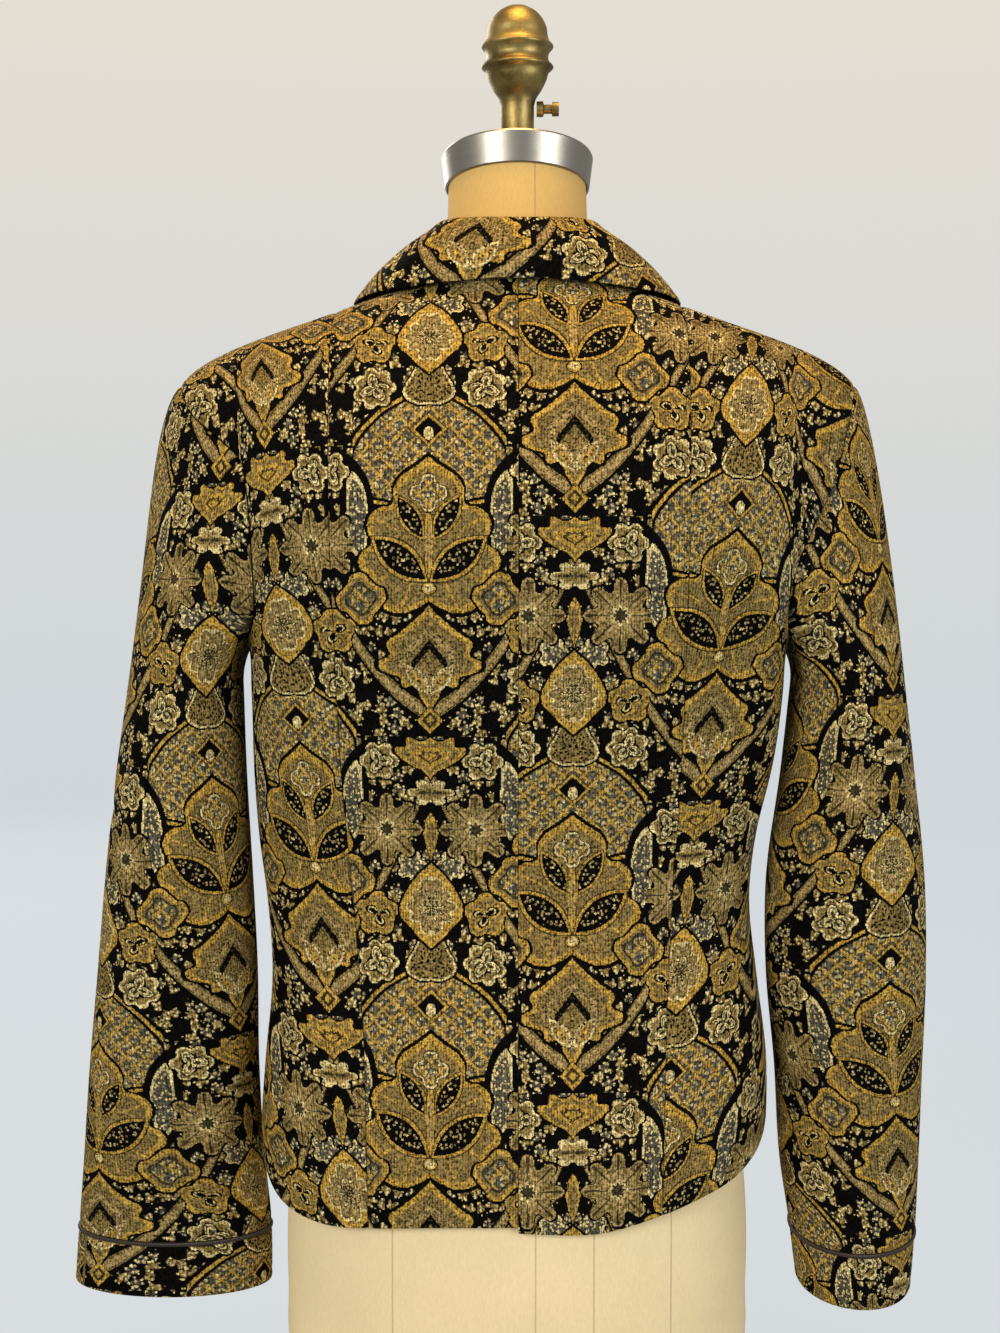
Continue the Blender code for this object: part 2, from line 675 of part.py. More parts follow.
def sleeve_grid(side, cap_rows=CAP_ROWS, sleeve_rows=SLEEVE_ROWS):
    """The sleeve from the armhole to the cuff seam: each column leaves the armhole along its own
    direction, bends down to the upper arm ring, and then follows the rings."""
    loop, normals, into = armhole_loop(side, UPPER_ROWS)
    count = len(loop)
    angles = np.arange(count) * 2 * math.pi / count
    under = ease((UNDERARM_REACH - np.abs(angles - math.pi)) / UNDERARM_FADE)
    lean = CAP_TOP_LEAN + (UNDERARM_LEAN - CAP_TOP_LEAN) * under
    leave = unit(into * np.cos(lean)[:, None] + normals * np.sin(lean)[:, None])
    start = loop + into * CAP_START_GAP + normals * (SEAM_GAP * under)[:, None]
    top_level = SLEEVE[side]["height"](np.array(1.0))
    upper = sleeve_ring(side, top_level, angles)
    lower = sleeve_ring(side, top_level - ARM_STEP, angles)
    arrive = unit(lower - upper)
    reach = np.linalg.norm(upper - start, axis=-1, keepdims=True)
    pull = (CAP_TOP_PULL[side] * (1 - under) + UNDERARM_PULL * under)[:, None]
    parts = np.linspace(0, 1, cap_rows + 1)[:, None, None]
    cap = (start * (1 - 3 * parts ** 2 + 2 * parts ** 3)
           + upper * (3 * parts ** 2 - 2 * parts ** 3)
           + leave * reach * pull * (parts - 2 * parts ** 2 + parts ** 3)
           + arrive * reach * ARM_PULL * (parts ** 3 - parts ** 2))
    levels = np.linspace(top_level, CUFF_SEAM_HEIGHT + PIPING_HEIGHT / 2 + SEAM_GAP, sleeve_rows)
    rings = []
    for place, level in enumerate(levels[1:], start=1):
        ring = sleeve_ring(side, level, angles)
        rings.append(dipped(ring, CUFF_SEAM_DIP * (place / (sleeve_rows - 1)) ** 2))
    return np.concatenate([cap, np.array(rings)])


def tube_inner(grid, depth):
    """A ring grid moved in by a depth along its own normals."""
    around = np.roll(grid, -1, axis=1) - np.roll(grid, 1, axis=1)
    down = np.gradient(grid, axis=0)
    normal = unit(np.cross(around, down))
    centre = grid.mean(axis=1, keepdims=True)
    if np.sum(normal[-1] * (grid[-1] - centre[-1])) < 0:
        normal = -normal
    return grid - normal * depth, normal


def trimmed(outer, inner, picks):
    """Pick columns of a ring grid and take half a seam gap off the first and the last."""
    pieces = []
    for grid in (outer, inner):
        part = grid[:, picks].copy()
        part[:, 0] += unit(part[:, 1] - part[:, 0]) * SEAM_GAP / 2
        part[:, -1] += unit(part[:, -2] - part[:, -1]) * SEAM_GAP / 2
        pieces.append(part)
    return pieces


def build_body(look):
    """Back, side and front panels of both sides."""
    panels = (
        ("centre_back", "back", ("middle", "princess")),
        ("side_back", "back", ("princess", "outer")),
        ("side_front", "front", ("princess", "outer")),
        ("front", "front", ("roll", "princess")),
    )
    for side in SIGN:
        for name, face, seams in panels:
            sink = under_lap_sink if (name, side) == ("front", "left") else None
            outer, inner = panel_walls(side, face, seams, sink=sink)
            add_wall(f"{name}_{side}", outer, inner, look)


def build_sleeves(look, ribbon):
    """Top sleeve, under sleeve, piping and cuff band of both sides."""
    for side in SIGN:
        grid = sleeve_grid(side)
        inner, _ = tube_inner(grid, WALL)
        count = grid.shape[1]
        top_picks = [place % count for place in range(FOREARM_COLUMN, count + HINDARM_COLUMN + 1)]
        under_picks = list(range(HINDARM_COLUMN, FOREARM_COLUMN + 1))
        add_wall(f"top_sleeve_{side}", *trimmed(grid, inner, top_picks), look)
        add_wall(f"under_sleeve_{side}", *trimmed(grid, inner, under_picks), look)
        angles = np.arange(count) * 2 * math.pi / count
        half = PIPING_HEIGHT / 2
        piping = []
        for level in (CUFF_SEAM_HEIGHT + half, CUFF_SEAM_HEIGHT, CUFF_SEAM_HEIGHT - half):
            piping.append(dipped(sleeve_ring(side, level, angles), CUFF_SEAM_DIP))
        piping = np.array(piping)
        piping_inner, normal = tube_inner(piping, WALL)
        proud = piping.copy()
        proud[1] += normal[1] * PIPING_PROUD
        add_wall(f"cuff_piping_{side}", proud, piping_inner, ribbon, ring=True)
        cuff = []
        for level in np.linspace(CUFF_SEAM_HEIGHT - half - SEAM_GAP, CUFF_HEM_HEIGHT, CUFF_ROWS):
            cuff.append(dipped(sleeve_ring(side, level, angles), CUFF_SEAM_DIP))
        cuff = np.array(cuff)
        add_wall(f"cuff_{side}", cuff, tube_inner(cuff, WALL)[0], look, ring=True)


def neck_edge():
    """The neckline as out, toward the back and height, from the middle of the back to the front."""
    outs = NECK_POINT_OUT * np.sin(np.linspace(0, math.pi / 2, DENSE))
    levels = back_neck_height(outs)
    back = np.stack([outs, depth_at("left", "back", outs, levels), levels], axis=-1)
    levels = NECK_POINT_HEIGHT - (NECK_POINT_HEIGHT - COLLAR_END_HEIGHT) * np.linspace(0, 1, DENSE) ** 2
    outs = roll_out(levels)
    front = np.stack([outs, -depth_at("left", "front", outs, levels), levels], axis=-1)
    return np.concatenate([back, front[1:]])


def along_path(path, share):
    """The point at a share of a path's length."""
    walked = np.concatenate([[0], np.cumsum(np.linalg.norm(np.diff(path, axis=0), axis=1))])
    return np.array([np.interp(share * walked[-1], walked, path[:, axis]) for axis in range(3)])


def roof_point(out, across, lift):
    """The point of the body surface above a spot on the floor plan, moved out by a lift."""
    face = "back" if across >= 0 else "front"
    levels = np.linspace(NECK_POINT_HEIGHT, COLLAR_LOWEST, DENSE)
    depths = depth_at("left", face, np.zeros(DENSE) + out, levels)
    inside = (BODY["left"](levels) >= out) & (depths >= abs(across))
    level = levels[int(np.argmax(inside))]
    place = np.array([out, across, level])
    normal = body_normal("left", face, np.array(out), np.array(abs(across)), np.array(level))
    return place + normal * lift


def collar_section(step):
    """Points across the collar at one step: up the stand, round the fold and down the fall."""
    place = abs(step)
    side = np.array([1.0 if step >= 0 else -1.0, 1.0, 1.0])
    sewn = along_path(neck_edge(), place)
    inward = -unit(np.array([sewn[0], sewn[1], 0.0]))
    sewn = sewn + inward * WALL + np.array([0, 0, COLLAR_SEAT])
    fold = sewn + inward * float(COLLAR["lean"](place)) + np.array([0, 0, float(COLLAR["stand"](place))])
    edge = roof_point(float(COLLAR["edge_x"](place)), float(COLLAR["edge_y"](place)),
                      float(COLLAR["edge_lift"](place)))
    sewn, fold, edge = sewn * side, fold * side, edge * side
    fall = unit(edge - fold)
    stand = unit(fold - sewn)
    outward = unit(np.array([edge[0] - fold[0], edge[1] - fold[1], 0.0]) + 1e-9)
    radius = FOLD_RADIUS * (1 - COLLAR_FOLD_NARROWING * place)
    turn_start = fold - stand * radius
    turn_end = fold + outward * 2 * radius + fall * radius
    top = fold + outward * radius + np.array([0, 0, radius * COLLAR_TOP_RISE])
    bulge = unit(np.cross(np.cross(fall, outward), fall) * -1 + np.array([0, 0, 1e-9]))
    if bulge[2] < 0:
        bulge = -bulge
    across = [sewn, sewn + (turn_start - sewn) * 0.5, turn_start, top, turn_end]
    for part in COLLAR_FALL_PARTS:
        rise = COLLAR_FALL_BULGE * 4 * part * (1 - part)
        across.append(turn_end + (edge - turn_end) * part + bulge * rise)
    return np.array(across)


def build_collar(look):
    """The collar: a folded wall round the neck."""
    steps = np.linspace(-1, 1, COLLAR_STEPS)
    grid = np.array([collar_section(step) for step in steps])
    along = np.gradient(grid, axis=0)
    across = np.gradient(grid, axis=1)
    normal = unit(np.cross(along, across))
    centre = len(steps) // 2
    if normal[centre, 3, 2] < 0:
        normal = -normal
    add_wall("collar", grid, grid - normal * WALL, look)


def lapel_grid(side, rows=LAPEL_ROWS, columns=LAPEL_COLUMNS_COUNT):
    """A lapel as out, depth and height on the front, from the roll line to its outer edge."""
    shape = LAPEL[side]
    steps = np.linspace(0, 1, rows)
    parts = np.linspace(0, 1, columns)
    roll_height = shape["roll_height"](steps)[:, None]
    edge_height = shape["edge_height"](steps)[:, None]
    height = roll_height + (edge_height - roll_height) * parts
    start = roll_out(roll_height) + SEAM_GAP
    out = start + (shape["edge_out"](steps)[:, None] - start) * parts
    depth = depth_at(side, "front", out, height)
    return out, depth, height


def build_lapels(look):
    """Lapels, which lie on the fronts from the roll line out."""
    for side in SIGN:
        out, depth, height = lapel_grid(side)
        normal = body_normal(side, "front", out, depth, height)
        base = np.stack([SIGN[side] * out, -depth, height], axis=-1)
        inner = base + normal * LAPEL_LIFT
        add_wall(f"lapel_{side}", inner + normal * WALL, inner, look)


def lathe(profile, sides):
    """Points of rings about +Z from radius and height rows."""
    angles = np.arange(sides) * 2 * math.pi / sides
    rings = []
    for radius, height in profile:
        ring = [radius * np.cos(angles), radius * np.sin(angles), np.zeros(sides) + height]
        rings.append(np.stack(ring, axis=-1))
    return np.array(rings)


def capped(rings, tip_start=None, tip_end=None):
    """Points and faces of a stack of rings, closed by a flat face or a fan at each end."""
    rows, sides = rings.shape[:2]
    points = list(rings.reshape(-1, 3))
    faces = grid_faces(rows, sides, True)
    last = (rows - 1) * sides
    for first, tip in ((0, tip_start), (last, tip_end)):
        loop = [first + side for side in range(sides)]
        if tip is None:
            faces.append(tuple(loop))
            continue
        points.append(np.array(tip))
        for side in range(sides):
            faces.append((loop[side], loop[(side + 1) % sides], len(points) - 1))
    return points, faces


def build_buttons(look):
    """Round buttons down the middle of the right front."""
    for number, height in enumerate(BUTTON_HEIGHTS, start=1):
        level = np.array(height)
        depth = float(depth_at("right", "front", np.array(0.0), level))
        normal = body_normal("right", "front", np.array(0.0), np.array(depth), level)
        rings = lathe([(BUTTON_RADIUS * radius, BUTTON_THICKNESS * rise)
                       for radius, rise in BUTTON_PROFILE], BUTTON_SIDES)
        up = unit(np.cross(np.array([1.0, 0, 0]), -normal))
        side = np.cross(up, normal)
        base = np.array([0, -depth, height]) + normal * BUTTON_SEAT
        world = (base + rings[..., :1] * side + rings[..., 1:2] * up + rings[..., 2:] * normal)
        add_solid(f"button_{number}", *capped(world), look)


def form_ring(level, sides=FORM_SIDES):
    """One section of the dress form."""
    angles = np.arange(sides) * 2 * math.pi / sides
    round_part = ease((level - NECK_ROUND_FROM) / NECK_ROUND_SPAN)
    power = 2 / (SECTION_POWER * (1 - round_part) + 2 * round_part)
    cosine, sine = np.cos(angles), np.sin(angles)
    across = FORM["half_width"](level) * np.sign(cosine) * np.abs(cosine) ** power
    depth = np.where(sine > 0, FORM["back"](level), FORM["front"](level))
    along = FORM["middle"](level) + depth * np.sign(sine) * np.abs(sine) ** power
    tilt = ease((level - NECK_TILT_FROM) / (NECK_TOP_HEIGHT - NECK_TILT_FROM)) * math.tan(NECK_TILT)
    rise = level + (along - CAP_MIDDLE[1]) * tilt
    return np.stack([across, along, rise], axis=-1)


def build_form(linen, metal, brass, iron):
    """Torso, neck cap, finial, thumb screw, pole and foot."""
    levels = [row[0] for row in FORM_SECTIONS]
    rings = np.array([form_ring(level) for level in sorted([*levels, *FORM_EXTRA_LEVELS])])
    add_solid("torso", *capped(rings), linen)

    cap_foot = NECK_TOP_HEIGHT - CAP_DROP
    rim = lathe(((CAP_RIM_INNER, 0.0), (CAP_FOOT_RADIUS, 0.0), (CAP_TOP_RADIUS, CAP_HEIGHT - CAP_BEVEL),
                 (CAP_TOP_RADIUS - CAP_BEVEL, CAP_HEIGHT)), FORM_SIDES)
    plate = lathe(((CAP_RIM_INNER, CAP_RECESS),), FORM_SIDES)
    rings = np.concatenate([plate, rim])
    tilt = math.tan(NECK_TILT)
    rings[..., 2] += rings[..., 1] * tilt + cap_foot
    rings[..., 1] += CAP_MIDDLE[1]
    add_solid("neck_cap", *capped(rings), metal)

    plate_top = cap_foot + CAP_HEIGHT
    rings = lathe(FINIAL_PROFILE, FINIAL_SIDES)
    rings[0, :, 2] = rings[0, :, 1] * tilt
    rings[..., 2] += plate_top + SEAM_GAP
    rings[..., 1] += CAP_MIDDLE[1]
    tip = (0.0, CAP_MIDDLE[1], plate_top + SEAM_GAP + FINIAL_TOP)
    add_solid("finial", *capped(rings, tip_end=tip), brass)

    rings = lathe([(radius, out) for out, radius in SCREW_PROFILE], SCREW_SIDES)
    turned = np.stack([-rings[..., 2], rings[..., 1] + CAP_MIDDLE[1],
                       rings[..., 0] + plate_top + SCREW_HEIGHT], axis=-1)
    add_solid("thumb_screw", *capped(turned), brass)

    foot = lathe(((FOOT_RADIUS, 0.0), (FOOT_RADIUS, FOOT_HEIGHT - FOOT_BEVEL),
                  (FOOT_RADIUS - FOOT_BEVEL, FOOT_HEIGHT)), FOOT_SIDES)
    add_solid("foot", *capped(foot), iron)
    pole = lathe(((POLE_RADIUS, FOOT_HEIGHT + SEAM_GAP), (POLE_RADIUS, levels[0] - SEAM_GAP)),
                 POLE_SIDES)
    add_solid("pole", *capped(pole), iron)


def main():
    clear_scene()
    cloth = material("brocade", (0.22, 0.16, 0.07), 0.75)
    ribbon = material("ribbon", (0.035, 0.022, 0.016), 0.5)
    horn = material("horn", (0.05, 0.035, 0.025), 0.35)
    linen = material("linen", (0.72, 0.56, 0.33), 0.8)
    aluminium = material("aluminium", (0.62, 0.63, 0.64), 0.35, 1.0)
    brass = material("brass", (0.42, 0.29, 0.09), 0.35, 1.0)
    iron = material("iron", (0.05, 0.05, 0.05), 0.5, 0.6)
    build_body(cloth)
    build_sleeves(cloth, ribbon)
    build_collar(cloth)
    build_lapels(cloth)
    build_buttons(horn)
    build_form(linen, aluminium, brass, iron)


main()
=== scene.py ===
"""Looks of the blazer on a dress form: thin cloth shells, woven pattern, form, cap, finial, stage."""

import math

import bpy
import numpy as np
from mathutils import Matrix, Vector


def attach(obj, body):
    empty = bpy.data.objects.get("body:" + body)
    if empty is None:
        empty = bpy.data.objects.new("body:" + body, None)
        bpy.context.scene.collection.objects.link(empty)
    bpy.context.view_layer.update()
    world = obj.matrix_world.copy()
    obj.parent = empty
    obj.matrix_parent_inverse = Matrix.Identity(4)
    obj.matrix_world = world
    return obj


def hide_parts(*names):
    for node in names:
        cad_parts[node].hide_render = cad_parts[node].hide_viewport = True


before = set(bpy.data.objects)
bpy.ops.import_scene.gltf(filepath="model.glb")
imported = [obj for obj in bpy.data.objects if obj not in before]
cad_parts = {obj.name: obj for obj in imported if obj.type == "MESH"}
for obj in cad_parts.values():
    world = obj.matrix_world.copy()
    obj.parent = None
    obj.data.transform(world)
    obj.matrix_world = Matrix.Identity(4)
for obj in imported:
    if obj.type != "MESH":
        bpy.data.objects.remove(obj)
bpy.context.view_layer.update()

# Cloth
WALL = 0.0018
SEAM_GAP = 0.0003
LAP_DROP = 0.0026
LAP_FADE_OUT = 0.022
LAP_FADE_WIDTH = 0.030
LAP_FADE_HEIGHT = 0.594
LAP_FADE_SPAN = 0.045

# Heights on the body
HEM_HEIGHT = 0.233
UNDERARM_HEIGHT = 0.600
SHOULDER_TIP_HEIGHT = 0.772
NECK_POINT_HEIGHT = 0.840
BREAK_HEIGHT = 0.520
BACK_NECK_DROP = 0.003

# Widths on the body, out from the middle
NECK_POINT_OUT = 0.062
SHOULDER_TIP_OUT = 0.222
FRONT_EDGE_OUT = 0.0175
ROLL_BEND = 0.18

# Body of the blazer: half width on the left and right, depth to the back and to the front
SECTION_POWER = 2.4
BODY_COLUMNS = ("height", "left", "right", "back", "front")
BODY_SECTIONS = (
    (0.200, 0.168, 0.166, 0.113, 0.108),
    (0.272, 0.1735, 0.169, 0.111, 0.107),
    (0.320, 0.1705, 0.169, 0.105, 0.105),
    (0.378, 0.1655, 0.162, 0.095, 0.102),
    (0.430, 0.1690, 0.157, 0.087, 0.101),
    (0.470, 0.1740, 0.161, 0.086, 0.105),
    (0.515, 0.1770, 0.171, 0.093, 0.114),
    (0.567, 0.178, 0.177, 0.104, 0.126),
    (0.600, 0.180, 0.180, 0.111, 0.131),
    (0.640, 0.200, 0.200, 0.116, 0.131),
    (0.680, 0.221, 0.221, 0.118, 0.125),
    (0.720, 0.230, 0.230, 0.114, 0.111),
    (0.750, 0.230, 0.230, 0.107, 0.098),
    (0.772, 0.222, 0.222, 0.100, 0.087),
    (0.782, 0.210, 0.210, 0.096, 0.082),
    (0.792, 0.191, 0.191, 0.091, 0.077),
    (0.802, 0.1655, 0.1655, 0.086, 0.072),
    (0.8115, 0.138, 0.138, 0.080, 0.067),
    (0.8215, 0.110, 0.110, 0.073, 0.063),
    (0.832, 0.081, 0.081, 0.066, 0.059),
    (0.840, 0.062, 0.062, 0.060, 0.056),
)

# Princess seams: how far out they run
PRINCESS_COLUMNS = ("height", "back_left", "back_right", "front")
PRINCESS_SEAMS = (
    (0.200, 0.095, 0.091, 0.094),
    (0.350, 0.099, 0.095, 0.090),
    (0.520, 0.113, 0.104, 0.096),
    (0.650, 0.117, 0.106, 0.106),
    (0.840, 0.119, 0.107, 0.113),
)

# Armholes: how far out their edge runs, from the underarm up to the shoulder tip
ARMHOLE_COLUMNS = ("height", "back_left", "back_right", "front")
ARMHOLE_EDGES = (
    (0.600, 0.1800, 0.1800, 0.1800),
    (0.603, 0.1782, 0.1785, 0.1765),
    (0.608, 0.1745, 0.1755, 0.1720),
    (0.617, 0.1700, 0.1725, 0.1670),
    (0.640, 0.1680, 0.1735, 0.1630),
    (0.670, 0.1685, 0.1850, 0.1640),
    (0.700, 0.1710, 0.2000, 0.1710),
    (0.720, 0.1760, 0.2070, 0.1800),
    (0.735, 0.1930, 0.2110, 0.1910),
    (0.748, 0.2090, 0.2150, 0.2030),
    (0.760, 0.2175, 0.2185, 0.2140),
    (0.772, 0.2220, 0.2220, 0.2220),
)

# Hem: height above the back hem, by how far round from the middle of the back
HEM_COLUMNS = ("turn", "left", "right")
HEM_RISE = (
    (0, 0.004, 0.000),
    (13, 0.003, -0.001),
    (26, 0.000, 0.006),
    (40, -0.003, 0.015),
    (52, -0.001, 0.022),
    (62, 0.004, 0.030),
    (76, 0.020, 0.043),
    (90, 0.039, 0.056),
    (104, 0.024, 0.038),
    (125, 0.005, 0.012),
    (150, 0.000, 0.000),
    (180, 0.000, 0.000),
)
HEM_TURN_HEIGHT = 0.263
FRONT_CORNER_RISE = 0.030
FRONT_CORNER_WIDTH = 0.045
CORNER_ROUNDNESS = 0.999

# Largest folds of the body: from and to, as distance out and height, half width and rise
FOLD_FADE = 0.35
CREASE_FADE = 0.45
FOLDS = (
    ("left", "back", 0.150, 0.690, 0.154, 0.520, 0.013, 0.0040),
    ("right", "back", 0.166, 0.690, 0.156, 0.500, 0.013, 0.0050),
    ("left", "back", 0.135, 0.660, 0.138, 0.540, 0.009, -0.0025),
    ("right", "back", 0.142, 0.670, 0.136, 0.530, 0.010, -0.0030),
    ("left", "back", 0.140, 0.420, 0.132, 0.250, 0.016, 0.0035),
    ("right", "back", 0.128, 0.400, 0.140, 0.250, 0.016, 0.0035),
    ("left", "front", 0.148, 0.680, 0.140, 0.520, 0.013, 0.0040),
    ("right", "front", 0.146, 0.690, 0.142, 0.540, 0.013, 0.0040),
    ("left", "front", 0.128, 0.400, 0.136, 0.250, 0.016, 0.0035),
    ("right", "front", 0.136, 0.410, 0.130, 0.250, 0.016, 0.0030),
)

# Sleeves: sections from the upper arm down to the cuff hem
SLEEVE_COLUMNS = ("height", "outer", "inner", "middle", "depth", "turn")
LEFT_SLEEVE = (
    (0.572, 0.2600, 0.1850, 0.004, 0.064, -6),
    (0.512, 0.2690, 0.1830, 0.005, 0.062, 0),
    (0.440, 0.2775, 0.1790, 0.006, 0.057, 8),
    (0.378, 0.2840, 0.1765, 0.004, 0.052, 14),
    (0.310, 0.2918, 0.1765, -0.001, 0.044, 20),
    (0.240, 0.2985, 0.1735, -0.007, 0.035, 26),
    (0.200, 0.3025, 0.1700, -0.010, 0.028, 28),
    (0.150, 0.3075, 0.1700, -0.014, 0.026, 29),
)
RIGHT_SLEEVE = (
    (0.572, 0.2590, 0.1850, 0.004, 0.064, 6),
    (0.512, 0.2665, 0.1785, 0.005, 0.062, 12),
    (0.440, 0.2745, 0.1690, 0.006, 0.057, 15),
    (0.378, 0.2768, 0.1695, 0.004, 0.054, 17),
    (0.310, 0.2762, 0.1765, -0.001, 0.052, 12),
    (0.240, 0.2758, 0.1820, -0.007, 0.050, 4),
    (0.200, 0.2750, 0.1885, -0.010, 0.049, 0),
    (0.150, 0.2725, 0.1955, -0.014, 0.048, -3),
)
CUFF_SEAM_HEIGHT = 0.1955
CUFF_HEM_HEIGHT = 0.1570
CUFF_SEAM_DIP = 0.010
PIPING_HEIGHT = 0.0030
CAP_START_GAP = SEAM_GAP * 1.8
CAP_TOP_LEAN = math.radians(4)
UNDERARM_LEAN = math.radians(84)
UNDERARM_REACH = math.radians(105)
UNDERARM_FADE = math.radians(95)
CAP_TOP_PULL = {"left": 0.46, "right": 0.27}
UNDERARM_PULL = 0.225
ARM_PULL = 1.3
ARM_STEP = 0.004
PIPING_PROUD = 0.0010
CUFF_STITCH_RISE = 0.006
CUFF_STITCH_DEPTH = 0.0003
HINDARM_COLUMN = 4
FOREARM_COLUMN = 15

# Collar, from the middle of the back to its front end: where it is sewn on, its fold and its edge
COLLAR_END_HEIGHT = 0.798
COLLAR_LOWEST = 0.692
COLLAR_SEAT = SEAM_GAP * 2
COLLAR_FALL_BULGE = 0.005
COLLAR_FOLD_NARROWING = 0.35
COLLAR_TOP_RISE = 0.5
COLLAR_FALL_PARTS = (0.35, 0.7, 1.0)
FOLD_RADIUS = 0.0030
COLLAR_COLUMNS = ("step", "stand", "lean", "edge_x", "edge_y", "edge_lift")
COLLAR_STATIONS = (
    (0.00, 0.0340, 0.0060, 0.000, 0.0685, 0.0075),
    (0.18, 0.0340, 0.0065, 0.042, 0.0650, 0.0065),
    (0.36, 0.0330, 0.0080, 0.080, 0.0500, 0.0050),
    (0.52, 0.0310, 0.0095, 0.104, 0.0180, 0.0042),
    (0.68, 0.0240, 0.0080, 0.109, -0.0200, 0.0040),
    (0.84, 0.0150, 0.0050, 0.106, -0.0520, 0.0040),
    (1.00, 0.0070, 0.0020, 0.097, -0.0740, 0.0040),
)

# Lapels: heights of their roll edge and outer edge, and how far out each runs
LAPEL_LIFT = 0.0012
LAPEL_PLACE = (0.03, 0.62)
LAPEL_COLUMNS = ("step", "roll_height", "edge_height", "edge_out")
RIGHT_LAPEL = (
    (0.00, 0.5240, 0.5225, -0.0115),
    (0.25, 0.5850, 0.5760, 0.0290),
    (0.50, 0.6500, 0.6340, 0.0650),
    (0.75, 0.7190, 0.6950, 0.0960),
    (1.00, 0.7900, 0.7600, 0.1160),
)
LEFT_LAPEL = (
    (0.00, 0.6000, 0.5960, 0.0180),
    (0.25, 0.6420, 0.6300, 0.0480),
    (0.50, 0.6890, 0.6690, 0.0760),
    (0.75, 0.7380, 0.7120, 0.0990),
    (1.00, 0.7900, 0.7600, 0.1160),
)

# Buttons
BUTTON_HEIGHTS = (0.500, 0.410, 0.320)
BUTTON_RADIUS = 0.0100
BUTTON_THICKNESS = 0.0034
BUTTON_PROFILE = ((0.94, 0.00), (1.00, 0.25), (1.00, 0.70), (0.97, 0.90), (0.90, 1.00), (0.80, 0.98),
                  (0.74, 0.80), (0.66, 0.72), (0.10, 0.70))
BUTTON_SEAT = SEAM_GAP * 1.5

# Dress form: half width, depth to the back and to the front
FORM_COLUMNS = ("height", "half_width", "back", "front", "middle")
FORM_SECTIONS = (
    (0.105, 0.147, 0.098, 0.092, 0.000),
    (0.118, 0.153, 0.103, 0.096, 0.000),
    (0.165, 0.156, 0.107, 0.099, 0.000),
    (0.215, 0.156, 0.107, 0.099, 0.000),
    (0.270, 0.151, 0.104, 0.098, 0.000),
    (0.330, 0.138, 0.094, 0.094, 0.000),
    (0.385, 0.125, 0.083, 0.087, 0.000),
    (0.430, 0.119, 0.078, 0.084, 0.000),
    (0.475, 0.122, 0.080, 0.087, 0.000),
    (0.530, 0.133, 0.088, 0.100, 0.000),
    (0.580, 0.145, 0.098, 0.114, 0.000),
    (0.620, 0.151, 0.104, 0.119, 0.000),
    (0.660, 0.158, 0.107, 0.114, 0.000),
    (0.700, 0.168, 0.106, 0.105, 0.000),
    (0.735, 0.176, 0.101, 0.094, 0.000),
    (0.765, 0.180, 0.094, 0.083, 0.000),
    (0.782, 0.180, 0.089, 0.077, 0.000),
    (0.789, 0.180, 0.0850, 0.0730, 0.000),
    (0.799, 0.1630, 0.0800, 0.0680, 0.000),
    (0.8085, 0.1360, 0.0740, 0.0630, 0.000),
    (0.8185, 0.1080, 0.0670, 0.0590, 0.000),
    (0.829, 0.0770, 0.0572, 0.0540, 0.000),
    (0.840, 0.0560, 0.0515, 0.0505, 0.000),
    (0.855, 0.0492, 0.0485, 0.0485, -0.001),
    (0.872, 0.0470, 0.0470, 0.0470, -0.002),
    (0.890, 0.0461, 0.0461, 0.0461, -0.003),
    (0.913, 0.0457, 0.0457, 0.0457, -0.004),
)
FORM_SIDES = 112
NECK_TILT = math.radians(11)
NECK_TILT_FROM = 0.862
NECK_TOP_HEIGHT = 0.913
NECK_ROUND_FROM = 0.832
NECK_ROUND_SPAN = 0.020
FORM_FOOT_LEVELS = (0.105, 0.107, 0.111)

# Neck cap
CAP_TOP_RADIUS = 0.0503
CAP_FOOT_RADIUS = 0.0480
CAP_RIM_INNER = 0.0467
CAP_HEIGHT = 0.021
CAP_RECESS = 0.0123
CAP_DROP = 0.0120
CAP_MIDDLE = (0.0, -0.004)
CAP_PROFILE = (
    (CAP_RIM_INNER, CAP_RECESS),
    (CAP_RIM_INNER, 0.0),
    (CAP_FOOT_RADIUS - 0.0008, 0.0),
    (CAP_FOOT_RADIUS, 0.0008),
    (CAP_TOP_RADIUS - 0.0003, CAP_HEIGHT - 0.0040),
    (CAP_TOP_RADIUS, CAP_HEIGHT - 0.0018),
    (CAP_TOP_RADIUS - 0.0006, CAP_HEIGHT - 0.0006),
    (CAP_TOP_RADIUS - 0.0020, CAP_HEIGHT),
)

# Finial, as radius and height above the middle of the cap
FINIAL_PROFILE = (
    (0.0111, 0.0000),
    (0.0111, 0.0340),
    (0.0125, 0.0385),
    (0.0160, 0.0440),
    (0.0195, 0.0510),
    (0.0212, 0.0560),
    (0.0240, 0.0590),
    (0.0213, 0.0622),
    (0.0205, 0.0655),
    (0.0215, 0.0690),
    (0.0240, 0.0725),
    (0.0213, 0.0758),
    (0.0203, 0.0790),
    (0.0195, 0.0845),
    (0.0170, 0.0900),
    (0.0125, 0.0950),
    (0.0070, 0.0982),
)
FINIAL_TOP = 0.0995

# Thumb screw, as distance out from the finial's axis and radius
SCREW_HEIGHT = 0.0320
SCREW_PROFILE = (
    (0.0128, 0.0050),
    (0.0170, 0.0052),
    (0.0178, 0.0030),
    (0.0228, 0.0030),
    (0.0230, 0.0046),
    (0.0276, 0.0046),
)

